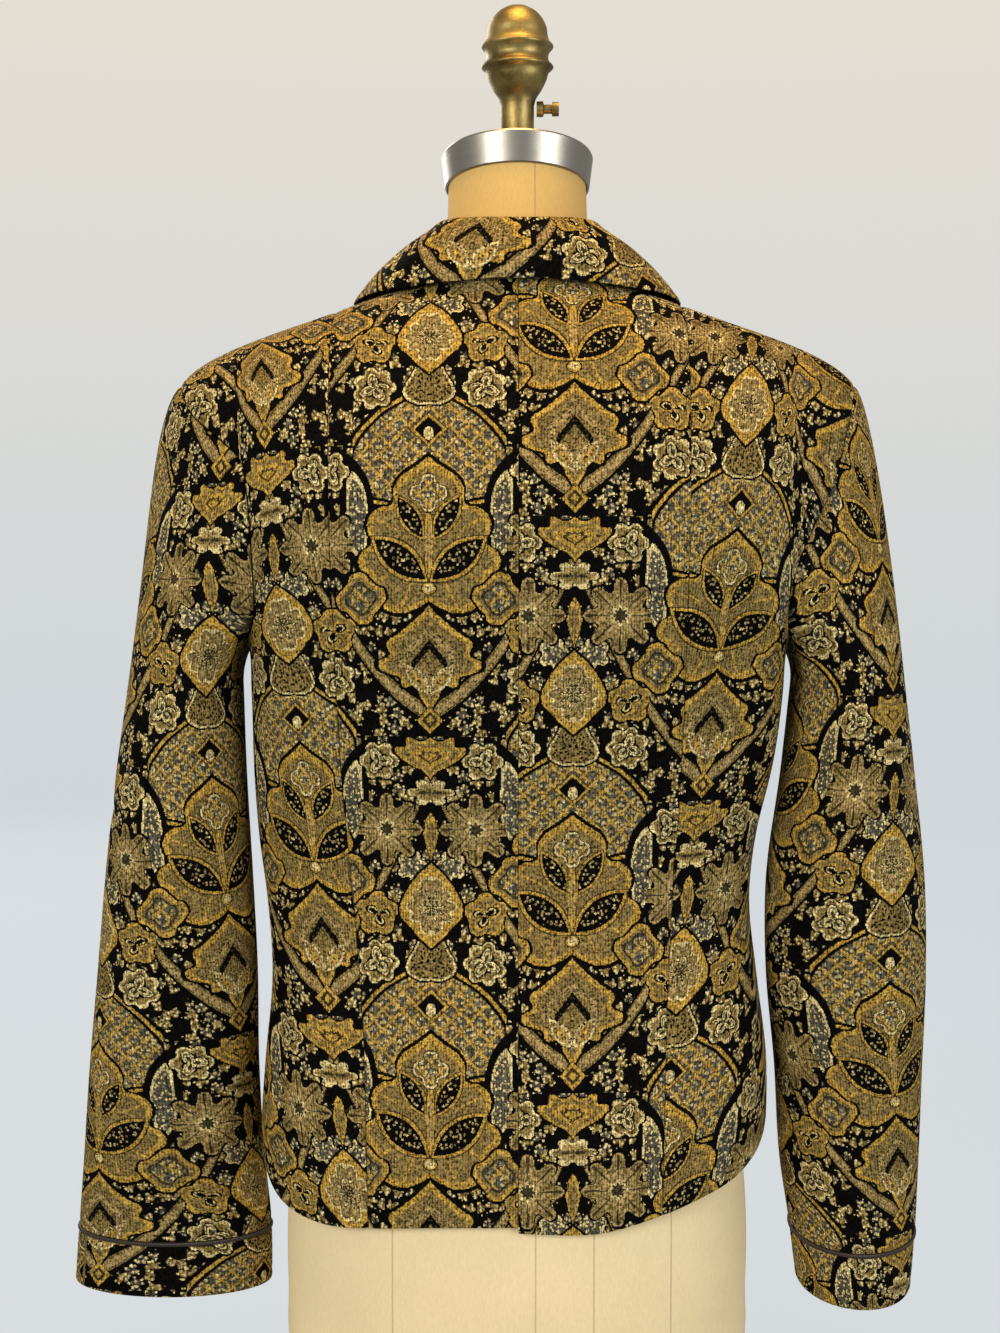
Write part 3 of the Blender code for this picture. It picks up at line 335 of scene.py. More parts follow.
# Pole and foot
POLE_RADIUS = 0.016
FOOT_RADIUS = 0.150
FOOT_HEIGHT = 0.018
FOOT_BEVEL = 0.004
FOOT_PROFILE = (
    (FOOT_RADIUS - 0.001, 0.0),
    (FOOT_RADIUS, 0.001),
    (FOOT_RADIUS, FOOT_HEIGHT - FOOT_BEVEL),
    (FOOT_RADIUS - FOOT_BEVEL * 0.3, FOOT_HEIGHT - FOOT_BEVEL * 0.3),
    (FOOT_RADIUS - FOOT_BEVEL, FOOT_HEIGHT),
)

DENSE = 400
STRAIGHT_FROM = 0.66
STRAIGHT_SPAN = 0.09


def smooth_curve(keys, values):
    """A function through the given values: cubic pieces whose slopes are those of the table."""
    keys = np.array(keys, dtype=float)
    values = np.array(values, dtype=float)
    slopes = np.gradient(values, keys)

    def at(where):
        where = np.clip(np.asarray(where, dtype=float), keys[0], keys[-1])
        start = np.clip(np.searchsorted(keys, where) - 1, 0, len(keys) - 2)
        span = keys[start + 1] - keys[start]
        part = (where - keys[start]) / span
        rise = part * part * (3 - 2 * part)
        leave = part * (1 - part) ** 2 * span * slopes[start]
        arrive = part * part * (part - 1) * span * slopes[start + 1]
        return values[start] * (1 - rise) + values[start + 1] * rise + leave + arrive

    return at


def table_curves(columns, rows):
    """One smooth curve for each named column, over the first column."""
    table = np.array(rows, dtype=float)
    keys = table[:, 0]
    return {name: smooth_curve(keys, table[:, place]) for place, name in enumerate(columns)}


def ease(part):
    """A soft step from 0 to 1."""
    part = np.clip(part, 0.0, 1.0)
    return part * part * (3 - 2 * part)


def circle(count):
    """Even turns all the way round."""
    return np.arange(count) * 2 * math.pi / count


def summed(steps, axis=0):
    """Running sum along an axis, starting from zero."""
    start = np.zeros_like(np.take(steps, [0], axis=axis))
    return np.concatenate([start, np.cumsum(steps, axis=axis)], axis=axis)


def lengths(path):
    """Length walked along a path to each of its points."""
    return summed(np.linalg.norm(np.diff(path, axis=0), axis=1))


def smooth_path(keys, count):
    """Evenly spaced points on a smooth path through the keys, and the lengths walked to them."""
    walked = lengths(keys)
    stops = np.linspace(0, walked[-1], count)
    return np.stack([smooth_curve(walked, line)(stops) for line in keys.T], axis=-1), stops


def in_world(side, face, out, depth, height):
    """Points of one side and face, from distances out, toward the face, and up."""
    return np.stack([SIGN[side] * out, FACE[face] * depth, height], axis=-1)


BODY = table_curves(BODY_COLUMNS, BODY_SECTIONS)
PRINCESS = table_curves(PRINCESS_COLUMNS, PRINCESS_SEAMS)
ARMHOLE = table_curves(ARMHOLE_COLUMNS, ARMHOLE_EDGES)
HEM = table_curves(HEM_COLUMNS, HEM_RISE)
COLLAR = table_curves(COLLAR_COLUMNS, COLLAR_STATIONS)
FORM = table_curves(FORM_COLUMNS, FORM_SECTIONS)
SLEEVE = {
    "left": table_curves(SLEEVE_COLUMNS, LEFT_SLEEVE[::-1]),
    "right": table_curves(SLEEVE_COLUMNS, RIGHT_SLEEVE[::-1]),
}
LAPEL = {
    "left": table_curves(LAPEL_COLUMNS, LEFT_LAPEL),
    "right": table_curves(LAPEL_COLUMNS, RIGHT_LAPEL),
}
SIGN = {"left": 1.0, "right": -1.0}
FACE = {"back": 1.0, "front": -1.0}


def depth_at(side, face, out, height):
    """How far the body surface lies from the middle plane, at a distance out and a height."""
    share = np.clip(np.abs(out) / BODY[side](height), 0.0, 1.0)
    return BODY[face](height) * (1 - share ** SECTION_POWER) ** (1 / SECTION_POWER)


def out_at_turn(side, turn, height):
    """How far out the section lies, at a turn from the middle (0) to the side (a quarter turn)."""
    return BODY[side](height) * np.sin(turn) ** (2 / SECTION_POWER)


def turn_at_out(side, out, height):
    """The turn at which the section lies as far out as given."""
    share = np.clip(out / BODY[side](height), 0.0, 1.0)
    return np.arcsin(share ** (SECTION_POWER / 2))


def body_normal(side, face, out, depth, height):
    """Unit normal of the body surface: the gradient of its superellipse sum."""
    power = SECTION_POWER
    step = 1e-4

    def total(level):
        across = (np.abs(out) / BODY[side](level)) ** power
        return across + (np.abs(depth) / BODY[face](level)) ** power

    slope_x = power * np.sign(out) * np.abs(out) ** (power - 1) / BODY[side](height) ** power
    slope_y = power * np.abs(depth) ** (power - 1) / BODY[face](height) ** power
    low = np.clip(height - step, BODY_SECTIONS[0][0], BODY_SECTIONS[-1][0])
    high = np.clip(height + step, BODY_SECTIONS[0][0], BODY_SECTIONS[-1][0])
    slope_z = (total(high) - total(low)) / (high - low)
    return unit(in_world(side, face, slope_x, slope_y, slope_z))


def ridge(line, out, height, fade):
    """Rise of one soft ridge or trough between two spots: it dies out at both ends."""
    start_out, start_height, end_out, end_height, width, rise = line
    run = np.array([end_out - start_out, end_height - start_height])
    part = ((out - start_out) * run[0] + (height - start_height) * run[1]) / (run @ run)
    across = (out - start_out) * run[1] - (height - start_height) * run[0]
    away = across / np.linalg.norm(run) / width
    return rise * ease(part / fade) * ease((1 - part) / fade) * np.exp(-away ** 2)


def crease_rise(side, face, out, height):
    """How far the folds and soft creases of the body push the cloth out."""
    total = np.zeros(np.broadcast(out, height).shape)
    for rows, fade in ((FOLDS, FOLD_FADE), (CREASES, CREASE_FADE)):
        for row_side, row_face, *line in rows:
            if (row_side, row_face) == (side, face):
                total = total + ridge(line, out, height, fade)
    return total


def hem_height(side, face, out):
    """Hem height by the turn round the body, with a rounded corner at the front edge."""
    turn = np.degrees(turn_at_out(side, np.clip(out, 0, None), HEM_TURN_HEIGHT))
    around = turn if face == "back" else 180 - turn
    corner = 0.0
    if face == "front":
        near = 1 - np.clip((out + FRONT_EDGE_OUT) / FRONT_CORNER_WIDTH, 0, 1)
        corner = FRONT_CORNER_RISE * (1 - np.sqrt(1 - near ** 2 * CORNER_ROUNDNESS))
    return HEM_HEIGHT + HEM[side](around) + corner


def back_neck_height(out):
    """Back neckline: a shallow curve up to the neck point."""
    return NECK_POINT_HEIGHT - BACK_NECK_DROP * (1 - (out / NECK_POINT_OUT) ** 2)


def roll_out(height):
    """How far out the front's free edge runs: straight, then along the roll line to the neck."""
    part = np.clip((height - BREAK_HEIGHT) / (NECK_POINT_HEIGHT - BREAK_HEIGHT), 0, 1)
    rise = part + ROLL_BEND * part * (1 - part)
    return -FRONT_EDGE_OUT + (NECK_POINT_OUT + FRONT_EDGE_OUT) * rise


def seam_out(side, face, seam, height):
    """How far out a seam or an edge runs at a height."""
    if seam == "middle":
        return np.zeros_like(height) + SEAM_GAP / 2
    if seam == "roll":
        return roll_out(height)
    if seam == "princess":
        return PRINCESS["front"](height) if face == "front" else PRINCESS["back_" + side](height)
    hole = ARMHOLE["front"](height) if face == "front" else ARMHOLE["back_" + side](height)
    hole = np.minimum(hole, BODY[side](height))
    outer = np.where(height < UNDERARM_HEIGHT, BODY[side](height), hole)
    return np.where(height > SHOULDER_TIP_HEIGHT, SHOULDER_TIP_OUT, outer)


def column_out(side, face, seams, share, height):
    """A column between two seams: evenly by turn at the side, evenly by width at the shoulder."""
    start = seam_out(side, face, seams[0], height)
    end = seam_out(side, face, seams[1], height)
    straight = start + (end - start) * share
    if seams[0] == "roll":
        return straight
    turn_start = turn_at_out(side, start, height)
    turn_end = turn_at_out(side, end, height)
    turned = out_at_turn(side, turn_start + (turn_end - turn_start) * share, height)
    blend = ease((height - STRAIGHT_FROM) / STRAIGHT_SPAN)
    return turned * (1 - blend) + straight * blend


def column_top(side, face, seams, share):
    """Height where a column meets the shoulder seam or the back neckline."""
    levels = np.linspace(SHOULDER_TIP_HEIGHT, NECK_POINT_HEIGHT, DENSE)
    outs = column_out(side, face, seams, share, levels)
    room = BODY[side](levels) - outs
    if face == "back" and outs[-1] < NECK_POINT_OUT:
        return float(back_neck_height(outs[-1]))
    if room[-1] > 0:
        return NECK_POINT_HEIGHT
    if room[0] < 0:
        return SHOULDER_TIP_HEIGHT
    crossing = int(np.argmax(room <= 0))
    return float(levels[crossing])


def under_lap_sink(out, height):
    """The left front lies under the right one: how far it is moved in near its edge."""
    near_edge = 1 - ease((out - LAP_FADE_OUT) / LAP_FADE_WIDTH)
    below = 1 - ease((height - LAP_FADE_HEIGHT) / LAP_FADE_SPAN)
    return LAP_DROP * near_edge * below


def grid_faces(rows, columns, ring, offset=0):
    """Quads of a grid of points, joined round where it is a ring."""
    places = offset + np.arange(rows * columns).reshape(rows, columns)
    after = np.roll(places, -1, axis=1)
    if not ring:
        places, after = places[:, :-1], after[:, :-1]
    return np.stack([places[:-1], after[:-1], after[1:], places[1:]], axis=-1).reshape(-1, 4).tolist()


def rim_faces(rows, columns, ring):
    """Quads that join the edges of two equal grids."""
    places = np.arange(rows * columns).reshape(rows, columns)
    loops = [places[0], places[-1, ::-1]]
    if not ring:
        loops = [np.concatenate([places[0], places[1:, -1], places[-1, -2::-1], places[-2:0:-1, 0]])]
    faces = []
    for loop in loops:
        after = np.roll(loop, -1)
        faces += np.stack([loop, after, after + rows * columns, loop + rows * columns], axis=1).tolist()
    return faces


def unit(vectors):
    """Vectors made one long."""
    return vectors / np.maximum(np.linalg.norm(vectors, axis=-1, keepdims=True), 1e-12)


def sleeve_ring(side, level, angles):
    """One ring of a sleeve: an ellipse between its inner and outer edge, turned a little."""
    shape = SLEEVE[side]
    outer, inner = shape["outer"](level), shape["inner"](level)
    turned = angles + np.radians(shape["turn"](level))
    across = (outer + inner) / 2 + (outer - inner) / 2 * np.cos(turned)
    depth = shape["middle"](level) + shape["depth"](level) * np.sin(turned)
    return np.stack([SIGN[side] * across, depth, np.zeros_like(across) + level], axis=-1)


def dipped(ring, amount):
    """Lower the back of a ring a little, as the cuff seam and hem lie."""
    ring = ring.copy()
    reach = (ring[:, 1] - ring[:, 1].min()) / (ring[:, 1].max() - ring[:, 1].min())
    ring[:, 2] -= amount * (reach - 0.5)
    return ring


def tube_inner(grid, depth):
    """A ring grid moved in by a depth along its own normals."""
    around = np.roll(grid, -1, axis=1) - np.roll(grid, 1, axis=1)
    down = np.gradient(grid, axis=0)
    normal = unit(np.cross(around, down))
    centre = grid.mean(axis=1, keepdims=True)
    if np.sum(normal[-1] * (grid[-1] - centre[-1])) < 0:
        normal = -normal
    return grid - normal * depth, normal


def neck_edge():
    """The neckline as out, toward the back and height, from the middle of the back to the front."""
    outs = NECK_POINT_OUT * np.sin(np.linspace(0, math.pi / 2, DENSE))
    levels = back_neck_height(outs)
    back = np.stack([outs, depth_at("left", "back", outs, levels), levels], axis=-1)
    levels = NECK_POINT_HEIGHT - (NECK_POINT_HEIGHT - COLLAR_END_HEIGHT) * np.linspace(0, 1, DENSE) ** 2
    outs = roll_out(levels)
    front = np.stack([outs, -depth_at("left", "front", outs, levels), levels], axis=-1)
    return np.concatenate([back, front[1:]])


def along_path(path, share):
    """The point at a share of a path's length."""
    walked = lengths(path)
    return np.array([np.interp(share * walked[-1], walked, line) for line in path.T])


def roof_point(out, across, lift):
    """The point of the body surface above a spot on the floor plan, moved out by a lift."""
    face = "back" if across >= 0 else "front"
    levels = np.linspace(NECK_POINT_HEIGHT, COLLAR_LOWEST, DENSE)
    depths = depth_at("left", face, np.zeros(DENSE) + out, levels)
    inside = (BODY["left"](levels) >= out) & (depths >= abs(across))
    level = levels[int(np.argmax(inside))]
    place = np.array([out, across, level])
    normal = body_normal("left", face, np.array(out), np.array(abs(across)), np.array(level))
    return place + normal * lift


def lathe(profile, sides):
    """Points of rings about +Z from radius and height rows."""
    angles = circle(sides)
    radius, height = (np.array(line)[:, None] for line in zip(*profile))
    flat = np.zeros(sides)
    return np.stack([radius * np.cos(angles), radius * np.sin(angles), flat + height], axis=-1)


def form_ring(level):
    """One section of the dress form."""
    angles = circle(FORM_SIDES)
    round_part = ease((level - NECK_ROUND_FROM) / NECK_ROUND_SPAN)
    power = 2 / (SECTION_POWER * (1 - round_part) + 2 * round_part)
    cosine, sine = np.cos(angles), np.sin(angles)
    across = FORM["half_width"](level) * np.sign(cosine) * np.abs(cosine) ** power
    depth = np.where(sine > 0, FORM["back"](level), FORM["front"](level))
    along = FORM["middle"](level) + depth * np.sign(sine) * np.abs(sine) ** power
    tilt = ease((level - NECK_TILT_FROM) / (NECK_TOP_HEIGHT - NECK_TILT_FROM)) * math.tan(NECK_TILT)
    rise = level + (along - CAP_MIDDLE[1]) * tilt
    return np.stack([across, along, rise], axis=-1)


# Mesh density of the shells
PANEL_COLUMNS = 26
BELOW_ROWS = 66
ABOVE_ROWS = 60
SLEEVE_FINENESS = 6
COARSE_UPPER_ROWS = 11
CAP_ROWS = 36
CAP_CROWDING = 1.35
CUFF_ROWS = 22
PIPING_ROWS = 9
COLLAR_STEPS = 129
COLLAR_POINTS = 46
LAPEL_ROWS = 60
LAPEL_COLUMN_COUNT = 26
ROUND_SIDES = 40
RIM_ROUNDING = 0.30
SLEEVE_ROWS = 80

# Soft creases of the body, laid over the folds: from and to, half width and rise
CREASES = (
    ("left", "back", 0.030, 0.560, 0.070, 0.455, 0.012, 0.0010),
    ("left", "back", 0.125, 0.500, 0.060, 0.455, 0.008, -0.0009),
    ("left", "back", 0.140, 0.475, 0.085, 0.428, 0.007, 0.0010),
    ("left", "back", 0.150, 0.430, 0.100, 0.392, 0.007, -0.0008),
    ("left", "back", 0.045, 0.360, 0.052, 0.245, 0.018, 0.0016),
    ("left", "back", 0.120, 0.770, 0.165, 0.690, 0.009, -0.0010),
    ("right", "back", 0.040, 0.540, 0.075, 0.440, 0.012, -0.0010),
    ("right", "back", 0.135, 0.520, 0.075, 0.470, 0.008, 0.0011),
    ("right", "back", 0.140, 0.480, 0.070, 0.425, 0.008, -0.0009),
    ("right", "back", 0.150, 0.445, 0.100, 0.400, 0.007, 0.0010),
    ("right", "back", 0.060, 0.350, 0.065, 0.245, 0.018, 0.0018),
    ("right", "back", 0.150, 0.755, 0.196, 0.715, 0.006, 0.0010),
    ("right", "back", 0.170, 0.750, 0.200, 0.722, 0.005, -0.0008),
    ("right", "back", 0.110, 0.770, 0.175, 0.680, 0.010, -0.0010),
    ("left", "front", 0.060, 0.640, 0.100, 0.560, 0.012, 0.0012),
    ("left", "front", 0.135, 0.520, 0.080, 0.460, 0.009, -0.0010),
    ("left", "front", 0.140, 0.470, 0.085, 0.425, 0.008, 0.0010),
    ("left", "front", 0.060, 0.350, 0.070, 0.245, 0.018, 0.0016),
    ("right", "front", 0.070, 0.650, 0.105, 0.570, 0.012, 0.0012),
    ("right", "front", 0.130, 0.510, 0.070, 0.455, 0.009, 0.0010),
    ("right", "front", 0.145, 0.465, 0.080, 0.420, 0.008, -0.0010),
    ("right", "front", 0.050, 0.340, 0.062, 0.245, 0.018, 0.0014),
)
SEAM_VALLEY = 0.0007
SEAM_VALLEY_WIDTH = 0.0020
PUCKER = 0.0002
PUCKER_LENGTH = 0.011

# Soft creases of the sleeves: from and to as turn round the sleeve and height, half width, rise
DEGREE_ARC = 0.0012
SLEEVE_CREASES = (
    ("left", 20, 0.520, 100, 0.455, 0.011, 0.0018),
    ("left", 40, 0.470, 120, 0.425, 0.009, -0.0014),
    ("left", 10, 0.440, 80, 0.400, 0.010, 0.0016),
    ("left", 60, 0.330, 130, 0.290, 0.012, 0.0012),
    ("left", 95, 0.600, 125, 0.480, 0.010, -0.0016),
    ("left", 200, 0.500, 280, 0.450, 0.011, 0.0016),
    ("left", 220, 0.455, 300, 0.410, 0.010, -0.0014),
    ("left", 330, 0.520, 400, 0.470, 0.010, -0.0012),
    ("right", 30, 0.540, 95, 0.470, 0.012, 0.0018),
    ("right", 15, 0.480, 110, 0.430, 0.010, -0.0014),
    ("right", 40, 0.425, 115, 0.385, 0.010, 0.0015),
    ("right", 80, 0.620, 105, 0.500, 0.012, 0.0020),
    ("right", 110, 0.610, 125, 0.480, 0.010, -0.0018),
    ("right", 50, 0.300, 130, 0.260, 0.012, 0.0012),
    ("right", 200, 0.500, 285, 0.450, 0.011, 0.0016),
    ("right", 215, 0.450, 290, 0.405, 0.010, -0.0014),
)

# Stage, camera and lights (name, place, aim, size, power, colour)
BACKDROP_COLOR = (0.10, 0.10, 0.11)
BACKDROP_SHOWN = 0.68
# The backdrop glows as painted light: bluish low down, warm toward the top, dimmer to the pieces it lights
# than to the camera
BACKDROP_LOW = (0.87, 0.94, 0.98)
BACKDROP_HIGH = (1.10, 1.02, 0.89)
BACKDROP_FADE = 3.0
BACKDROP_TOP = 8.0
FLOOR_RADIUS = 4.0
FLOOR_BEND = 3.0
BACKDROP_GLOW = 0.28
WORLD_LIGHT = 0.24
LAMPS = (
    ("overhead", (0.0, 0.25, 2.2), (0.0, 0.0, 0.8), 0.8, 20, (1.0, 0.62, 0.22)),
    ("front_left", (1.7, 2.4, 1.4), (0.0, 0.0, 0.4), 1.6, 56, (1.0, 0.96, 0.91)),
    ("front_right", (-2.2, 2.0, 0.9), (0.0, 0.0, 0.4), 1.8, 38, (0.98, 0.98, 1.0)),
    ("far_side", (1.5, -2.6, 1.8), (0.0, 0.0, 0.5), 1.8, 34, (1.0, 0.97, 0.92)),
)
CAMERA_LENS = 68.4
CAMERA_PLACE = (0.0115, 1.28, 0.665)
CAMERA_PITCH = math.radians(3.66)

# Placing of the woven pattern: where its main axis and its palmette lie on each part
PLACES = {
    "left_back": (0.0550, 0.2985),
    "right_back": (0.0340, 0.4375),
    "left_front": (0.0500, 0.4200),
    "right_front": (0.0500, 0.4200),
    "left_sleeve": (-0.0390, 0.6425),
    "right_sleeve": (-0.0090, 0.3230),
    "collar": (0.0250, -0.0150),
}
REFERENCE_HALF_WIDTH = 0.180
REFERENCE_DEPTH = 0.100
SIDE_PANEL_LEAN = 0.12
STEEPEST = 0.25
SLEEVE_GIRTH = 0.30
SLEEVE_START = 0.17


def cloth_across(out):
    """Width along the cloth at a distance out: arc length of one reference section."""
    grid = np.linspace(0, REFERENCE_HALF_WIDTH * 0.985, DENSE)
    depth = REFERENCE_DEPTH * (1 - (grid / REFERENCE_HALF_WIDTH) ** SECTION_POWER) ** (1 / SECTION_POWER)
    walked = summed(np.hypot(np.diff(grid), np.diff(depth)))
    beyond = np.maximum(out - grid[-1], 0)
    return np.interp(out, grid, walked) + beyond + np.minimum(out, 0)


def edge_shares(columns):
    """Even shares with close ones near both edges, where the seam valleys are."""
    inner = np.linspace(0.03, 0.97, columns)
    return np.concatenate([[0, 0.008, 0.018], inner, [0.982, 0.992, 1]])


def column_walk(side, face, seams, share, rows_below, rows_above):
    """One column of the body surface from hem to top, with the length walked from the underarm."""
    start_out = float(column_out(side, face, seams, share, np.array(HEM_HEIGHT)))
    low = float(hem_height(side, face, np.array(start_out)))
    top = column_top(side, face, seams, share)
    part = np.linspace(0, 1, DENSE)
    spans = (
        (low + (UNDERARM_HEIGHT - low) * part, rows_below, -1),
        (UNDERARM_HEIGHT + (top - UNDERARM_HEIGHT) * ease(part), rows_above, 1),
    )
    pieces = []
    for heights, count, way in spans:
        outs = column_out(side, face, seams, share, heights)
        depths = depth_at(side, face, outs, heights)
        path = np.stack([outs, depths, heights], axis=-1)
        walked = lengths(path)
        stops = np.linspace(0, walked[-1], count)
        length = stops - walked[-1] if way < 0 else stops
        rows = [np.interp(stops, walked, line) for line in path.T] + [length]
        pieces.append(np.stack(rows, axis=-1))
    return np.concatenate([pieces[0], pieces[1][1:]])


def body_sheet(side, face, seams, shares, rows_below=BELOW_ROWS, rows_above=ABOVE_ROWS):
    """Grid of a body panel as out, depth, height and length walked, half a seam gap in."""
    grid = np.stack([column_walk(side, face, seams, share, rows_below, rows_above)
                     for share in shares], axis=1)
    if seams[0] == "princess":
        grid[:, 0, 0] += SEAM_GAP / 2
    if seams[1] == "princess":
        grid[:, -1, 0] -= SEAM_GAP / 2
    grid[:, :, 1] = np.maximum(grid[:, :, 1], SEAM_GAP / 2)
    return grid


def edge_distance(grid):
    """Distance along the cloth of each grid point to the nearer side edge."""
    steps = np.linalg.norm(np.diff(grid, axis=1), axis=-1)
    walked = summed(steps, axis=1)
    return walked, walked[:, -1:] - walked


def seam_sink(distance, length):
    """Depth of the valley beside a seam, with a slight pucker along it."""
    beat = 1 + np.sin(length * 2 * math.pi / PUCKER_LENGTH + 2.1 * np.sin(length * 37))
    near = np.exp(-(distance / SEAM_VALLEY_WIDTH) ** 2)
    wide = np.exp(-(distance / (3 * SEAM_VALLEY_WIDTH)) ** 2)
    return SEAM_VALLEY * near + PUCKER * beat * wide


def panel_sheet(side, face, seams, sink=None):
    """Outer and inner grids and cloth coordinates of a body panel."""
    shares = edge_shares(PANEL_COLUMNS)
    if seams[0] == "middle":
        neck = NECK_POINT_OUT / float(PRINCESS["back_" + side](NECK_POINT_HEIGHT))
        near = neck * np.sin(np.linspace(0.02, math.pi / 2, PANEL_COLUMNS))
        shares = np.concatenate([[0, 0.008], near, np.linspace(neck, 1, 14)[1:-1], [0.984, 0.992, 1]])
    grid = body_sheet(side, face, seams, shares)
    out, depth, height, walked = np.moveaxis(grid, -1, 0)
    normal = body_normal(side, face, out, depth, height)
    outer = in_world(side, face, out, depth, height)
    near, far = edge_distance(outer)
    valley = seam_sink(far, walked)
    if seams[0] != "roll":
        valley = valley + seam_sink(near, walked + 0.3)
    outer = outer + normal * (crease_rise(side, face, out, height) - valley)[..., None]
    if sink is not None:
        outer = outer - normal * sink(out, height)[..., None]
    across, level = PLACES[f"{side}_{face}"]
    climbed = climb(height, normal, BELOW_ROWS - 1)
    lean = SIDE_PANEL_LEAN if seams == ("princess", "outer") else 0.0
    width = cloth_across(out) - across - lean * climbed
    cloth = np.stack([width, UNDERARM_HEIGHT + climbed - level], axis=-1)
    return outer, outer - normal * WALL, cloth


def climb(height, normal, base):
    """Length up the cloth in a plane straight through the body: height gained at each row, times
    the root of 1 plus the square of the surface's tilt, summed from a base row."""
    tilt = normal[..., 2] / np.maximum(np.abs(normal[..., 1]), STEEPEST)
    slope = np.sqrt(1 + tilt ** 2)
    gone = np.diff(height, axis=0) * (slope[1:] + slope[:-1]) / 2
    walked = summed(gone)
    return walked - walked[base]


def cloth_walk(grid, normal, way, base):
    """Cloth coordinates walked from a base row: each step along a column is split into a level
    part and a climbing part, so the weave stays upright where the columns lean."""
    level = unit(np.cross(np.array([0, 0, 1.0]), normal)) * way
    upward = unit(np.cross(normal, level)) * way
    step = np.diff(grid, axis=0)
    walks = []
    for way_along in (level, upward):
        gone = np.sum(step * unit(way_along[1:] + way_along[:-1]), axis=-1)
        walked = summed(gone)
        walks.append(walked - walked[base])
    return walks


def armhole_loop(side, rows_above):
    """Points, surface normals and directions into the hole, round the armhole from the tip."""
    shares = np.array([0.0, 1.0])
    loop = []
    normals = []
    for face in ("back", "front"):
        grid = body_sheet(side, face, ("princess", "outer"), shares, 2, rows_above)[1:, 1]
        if face == "back":
            grid = grid[::-1]
        spots = np.moveaxis(grid[:-1, :3], -1, 0)
        loop.append(in_world(side, face, *spots))
        normals.append(body_normal(side, face, *spots))
    loop = np.concatenate(loop)
    normals = unit(np.concatenate(normals))
    along = unit(np.roll(loop, -1, axis=0) - np.roll(loop, 1, axis=0))
    into = unit(np.cross(along, normals))
    flip = np.sign(np.sum(into * (loop.mean(axis=0) - loop), axis=-1, keepdims=True))
    return loop, normals, into * flip


def sleeve_sheet(side):
    """The sleeve from the armhole to the cuff seam, with its cloth coordinates."""
    rows_above = (COARSE_UPPER_ROWS - 1) * SLEEVE_FINENESS + 1
    loop, normals, into = armhole_loop(side, rows_above)
    count = len(loop)
    angles = circle(count)
    under = ease((UNDERARM_REACH - np.abs(angles - math.pi)) / UNDERARM_FADE)
    lean = CAP_TOP_LEAN + (UNDERARM_LEAN - CAP_TOP_LEAN) * under
    leave = unit(into * np.cos(lean)[:, None] + normals * np.sin(lean)[:, None])
    start = loop + into * CAP_START_GAP + normals * (SEAM_GAP * under)[:, None]
    top_level = SLEEVE[side]["height"](np.array(1.0))
    upper = sleeve_ring(side, top_level, angles)
    lower = sleeve_ring(side, top_level - ARM_STEP, angles)
    arrive = unit(lower - upper)
    reach = np.linalg.norm(upper - start, axis=-1, keepdims=True)
    pull = (CAP_TOP_PULL[side] * (1 - under) + UNDERARM_PULL * under)[:, None]
    parts = (np.linspace(0, 1, CAP_ROWS + 1) ** CAP_CROWDING)[:, None, None]
    cap = (start * (1 - 3 * parts ** 2 + 2 * parts ** 3)
           + upper * (3 * parts ** 2 - 2 * parts ** 3)
           + leave * reach * pull * (parts - 2 * parts ** 2 + parts ** 3)
           + arrive * reach * ARM_PULL * (parts ** 3 - parts ** 2))
    levels = np.linspace(top_level, CUFF_SEAM_HEIGHT + PIPING_HEIGHT / 2 + SEAM_GAP, SLEEVE_ROWS)
    rings = []
    for place, level in enumerate(levels[1:], start=1):
        ring = sleeve_ring(side, level, angles)
        rings.append(dipped(ring, CUFF_SEAM_DIP * (place / (SLEEVE_ROWS - 1)) ** 2))
    grid = np.concatenate([cap, np.array(rings)])
    normal = tube_inner(grid, WALL)[1]
    cloth = sleeve_cloth(side, grid, normal, angles)
    grid = grid + normal * sleeve_rise(side, grid, angles)[..., None]
    return grid, cloth


def sleeve_rise(side, grid, angles):
    """Soft creases across the sleeve, by turn and height, with valleys at its two seams."""
    turn = np.degrees(angles)[None, :] + np.zeros(grid.shape[:2])
    height = grid[..., 2]
    total = np.zeros(grid.shape[:2])
    for row_side, start, start_height, end, *rest in SLEEVE_CREASES:
        line = (start * DEGREE_ARC, start_height, end * DEGREE_ARC, *rest)
        if row_side == side:
            for lap in (0, 360):
                total += ridge(line, (turn + lap) * DEGREE_ARC, height, CREASE_FADE)
    for column in (HINDARM_COLUMN, FOREARM_COLUMN):
        seam = column * 360 / (2 * (COARSE_UPPER_ROWS - 1))
        total -= seam_sink(np.abs(turn - seam) * DEGREE_ARC, height)
    rim = np.linalg.norm(grid - grid[:1], axis=-1)
    return total - seam_sink(rim, turn * DEGREE_ARC)


def sleeve_cloth(side, grid, normal, angles):
    """Cloth coordinates: width round the sleeve from its outer side, and height."""
    across, level = PLACES[f"{side}_sleeve"]
    width = (angles / (2 * math.pi) - SLEEVE_START) * SLEEVE_GIRTH
    sideways, climbed = cloth_walk(grid, normal, SIGN[side], CAP_ROWS)
    sideways[CAP_ROWS:] = 0.0
    base = float(SLEEVE[side]["height"](np.array(1.0)))
    return np.stack([width[None, :] + sideways - across, base + climbed - level], axis=-1)


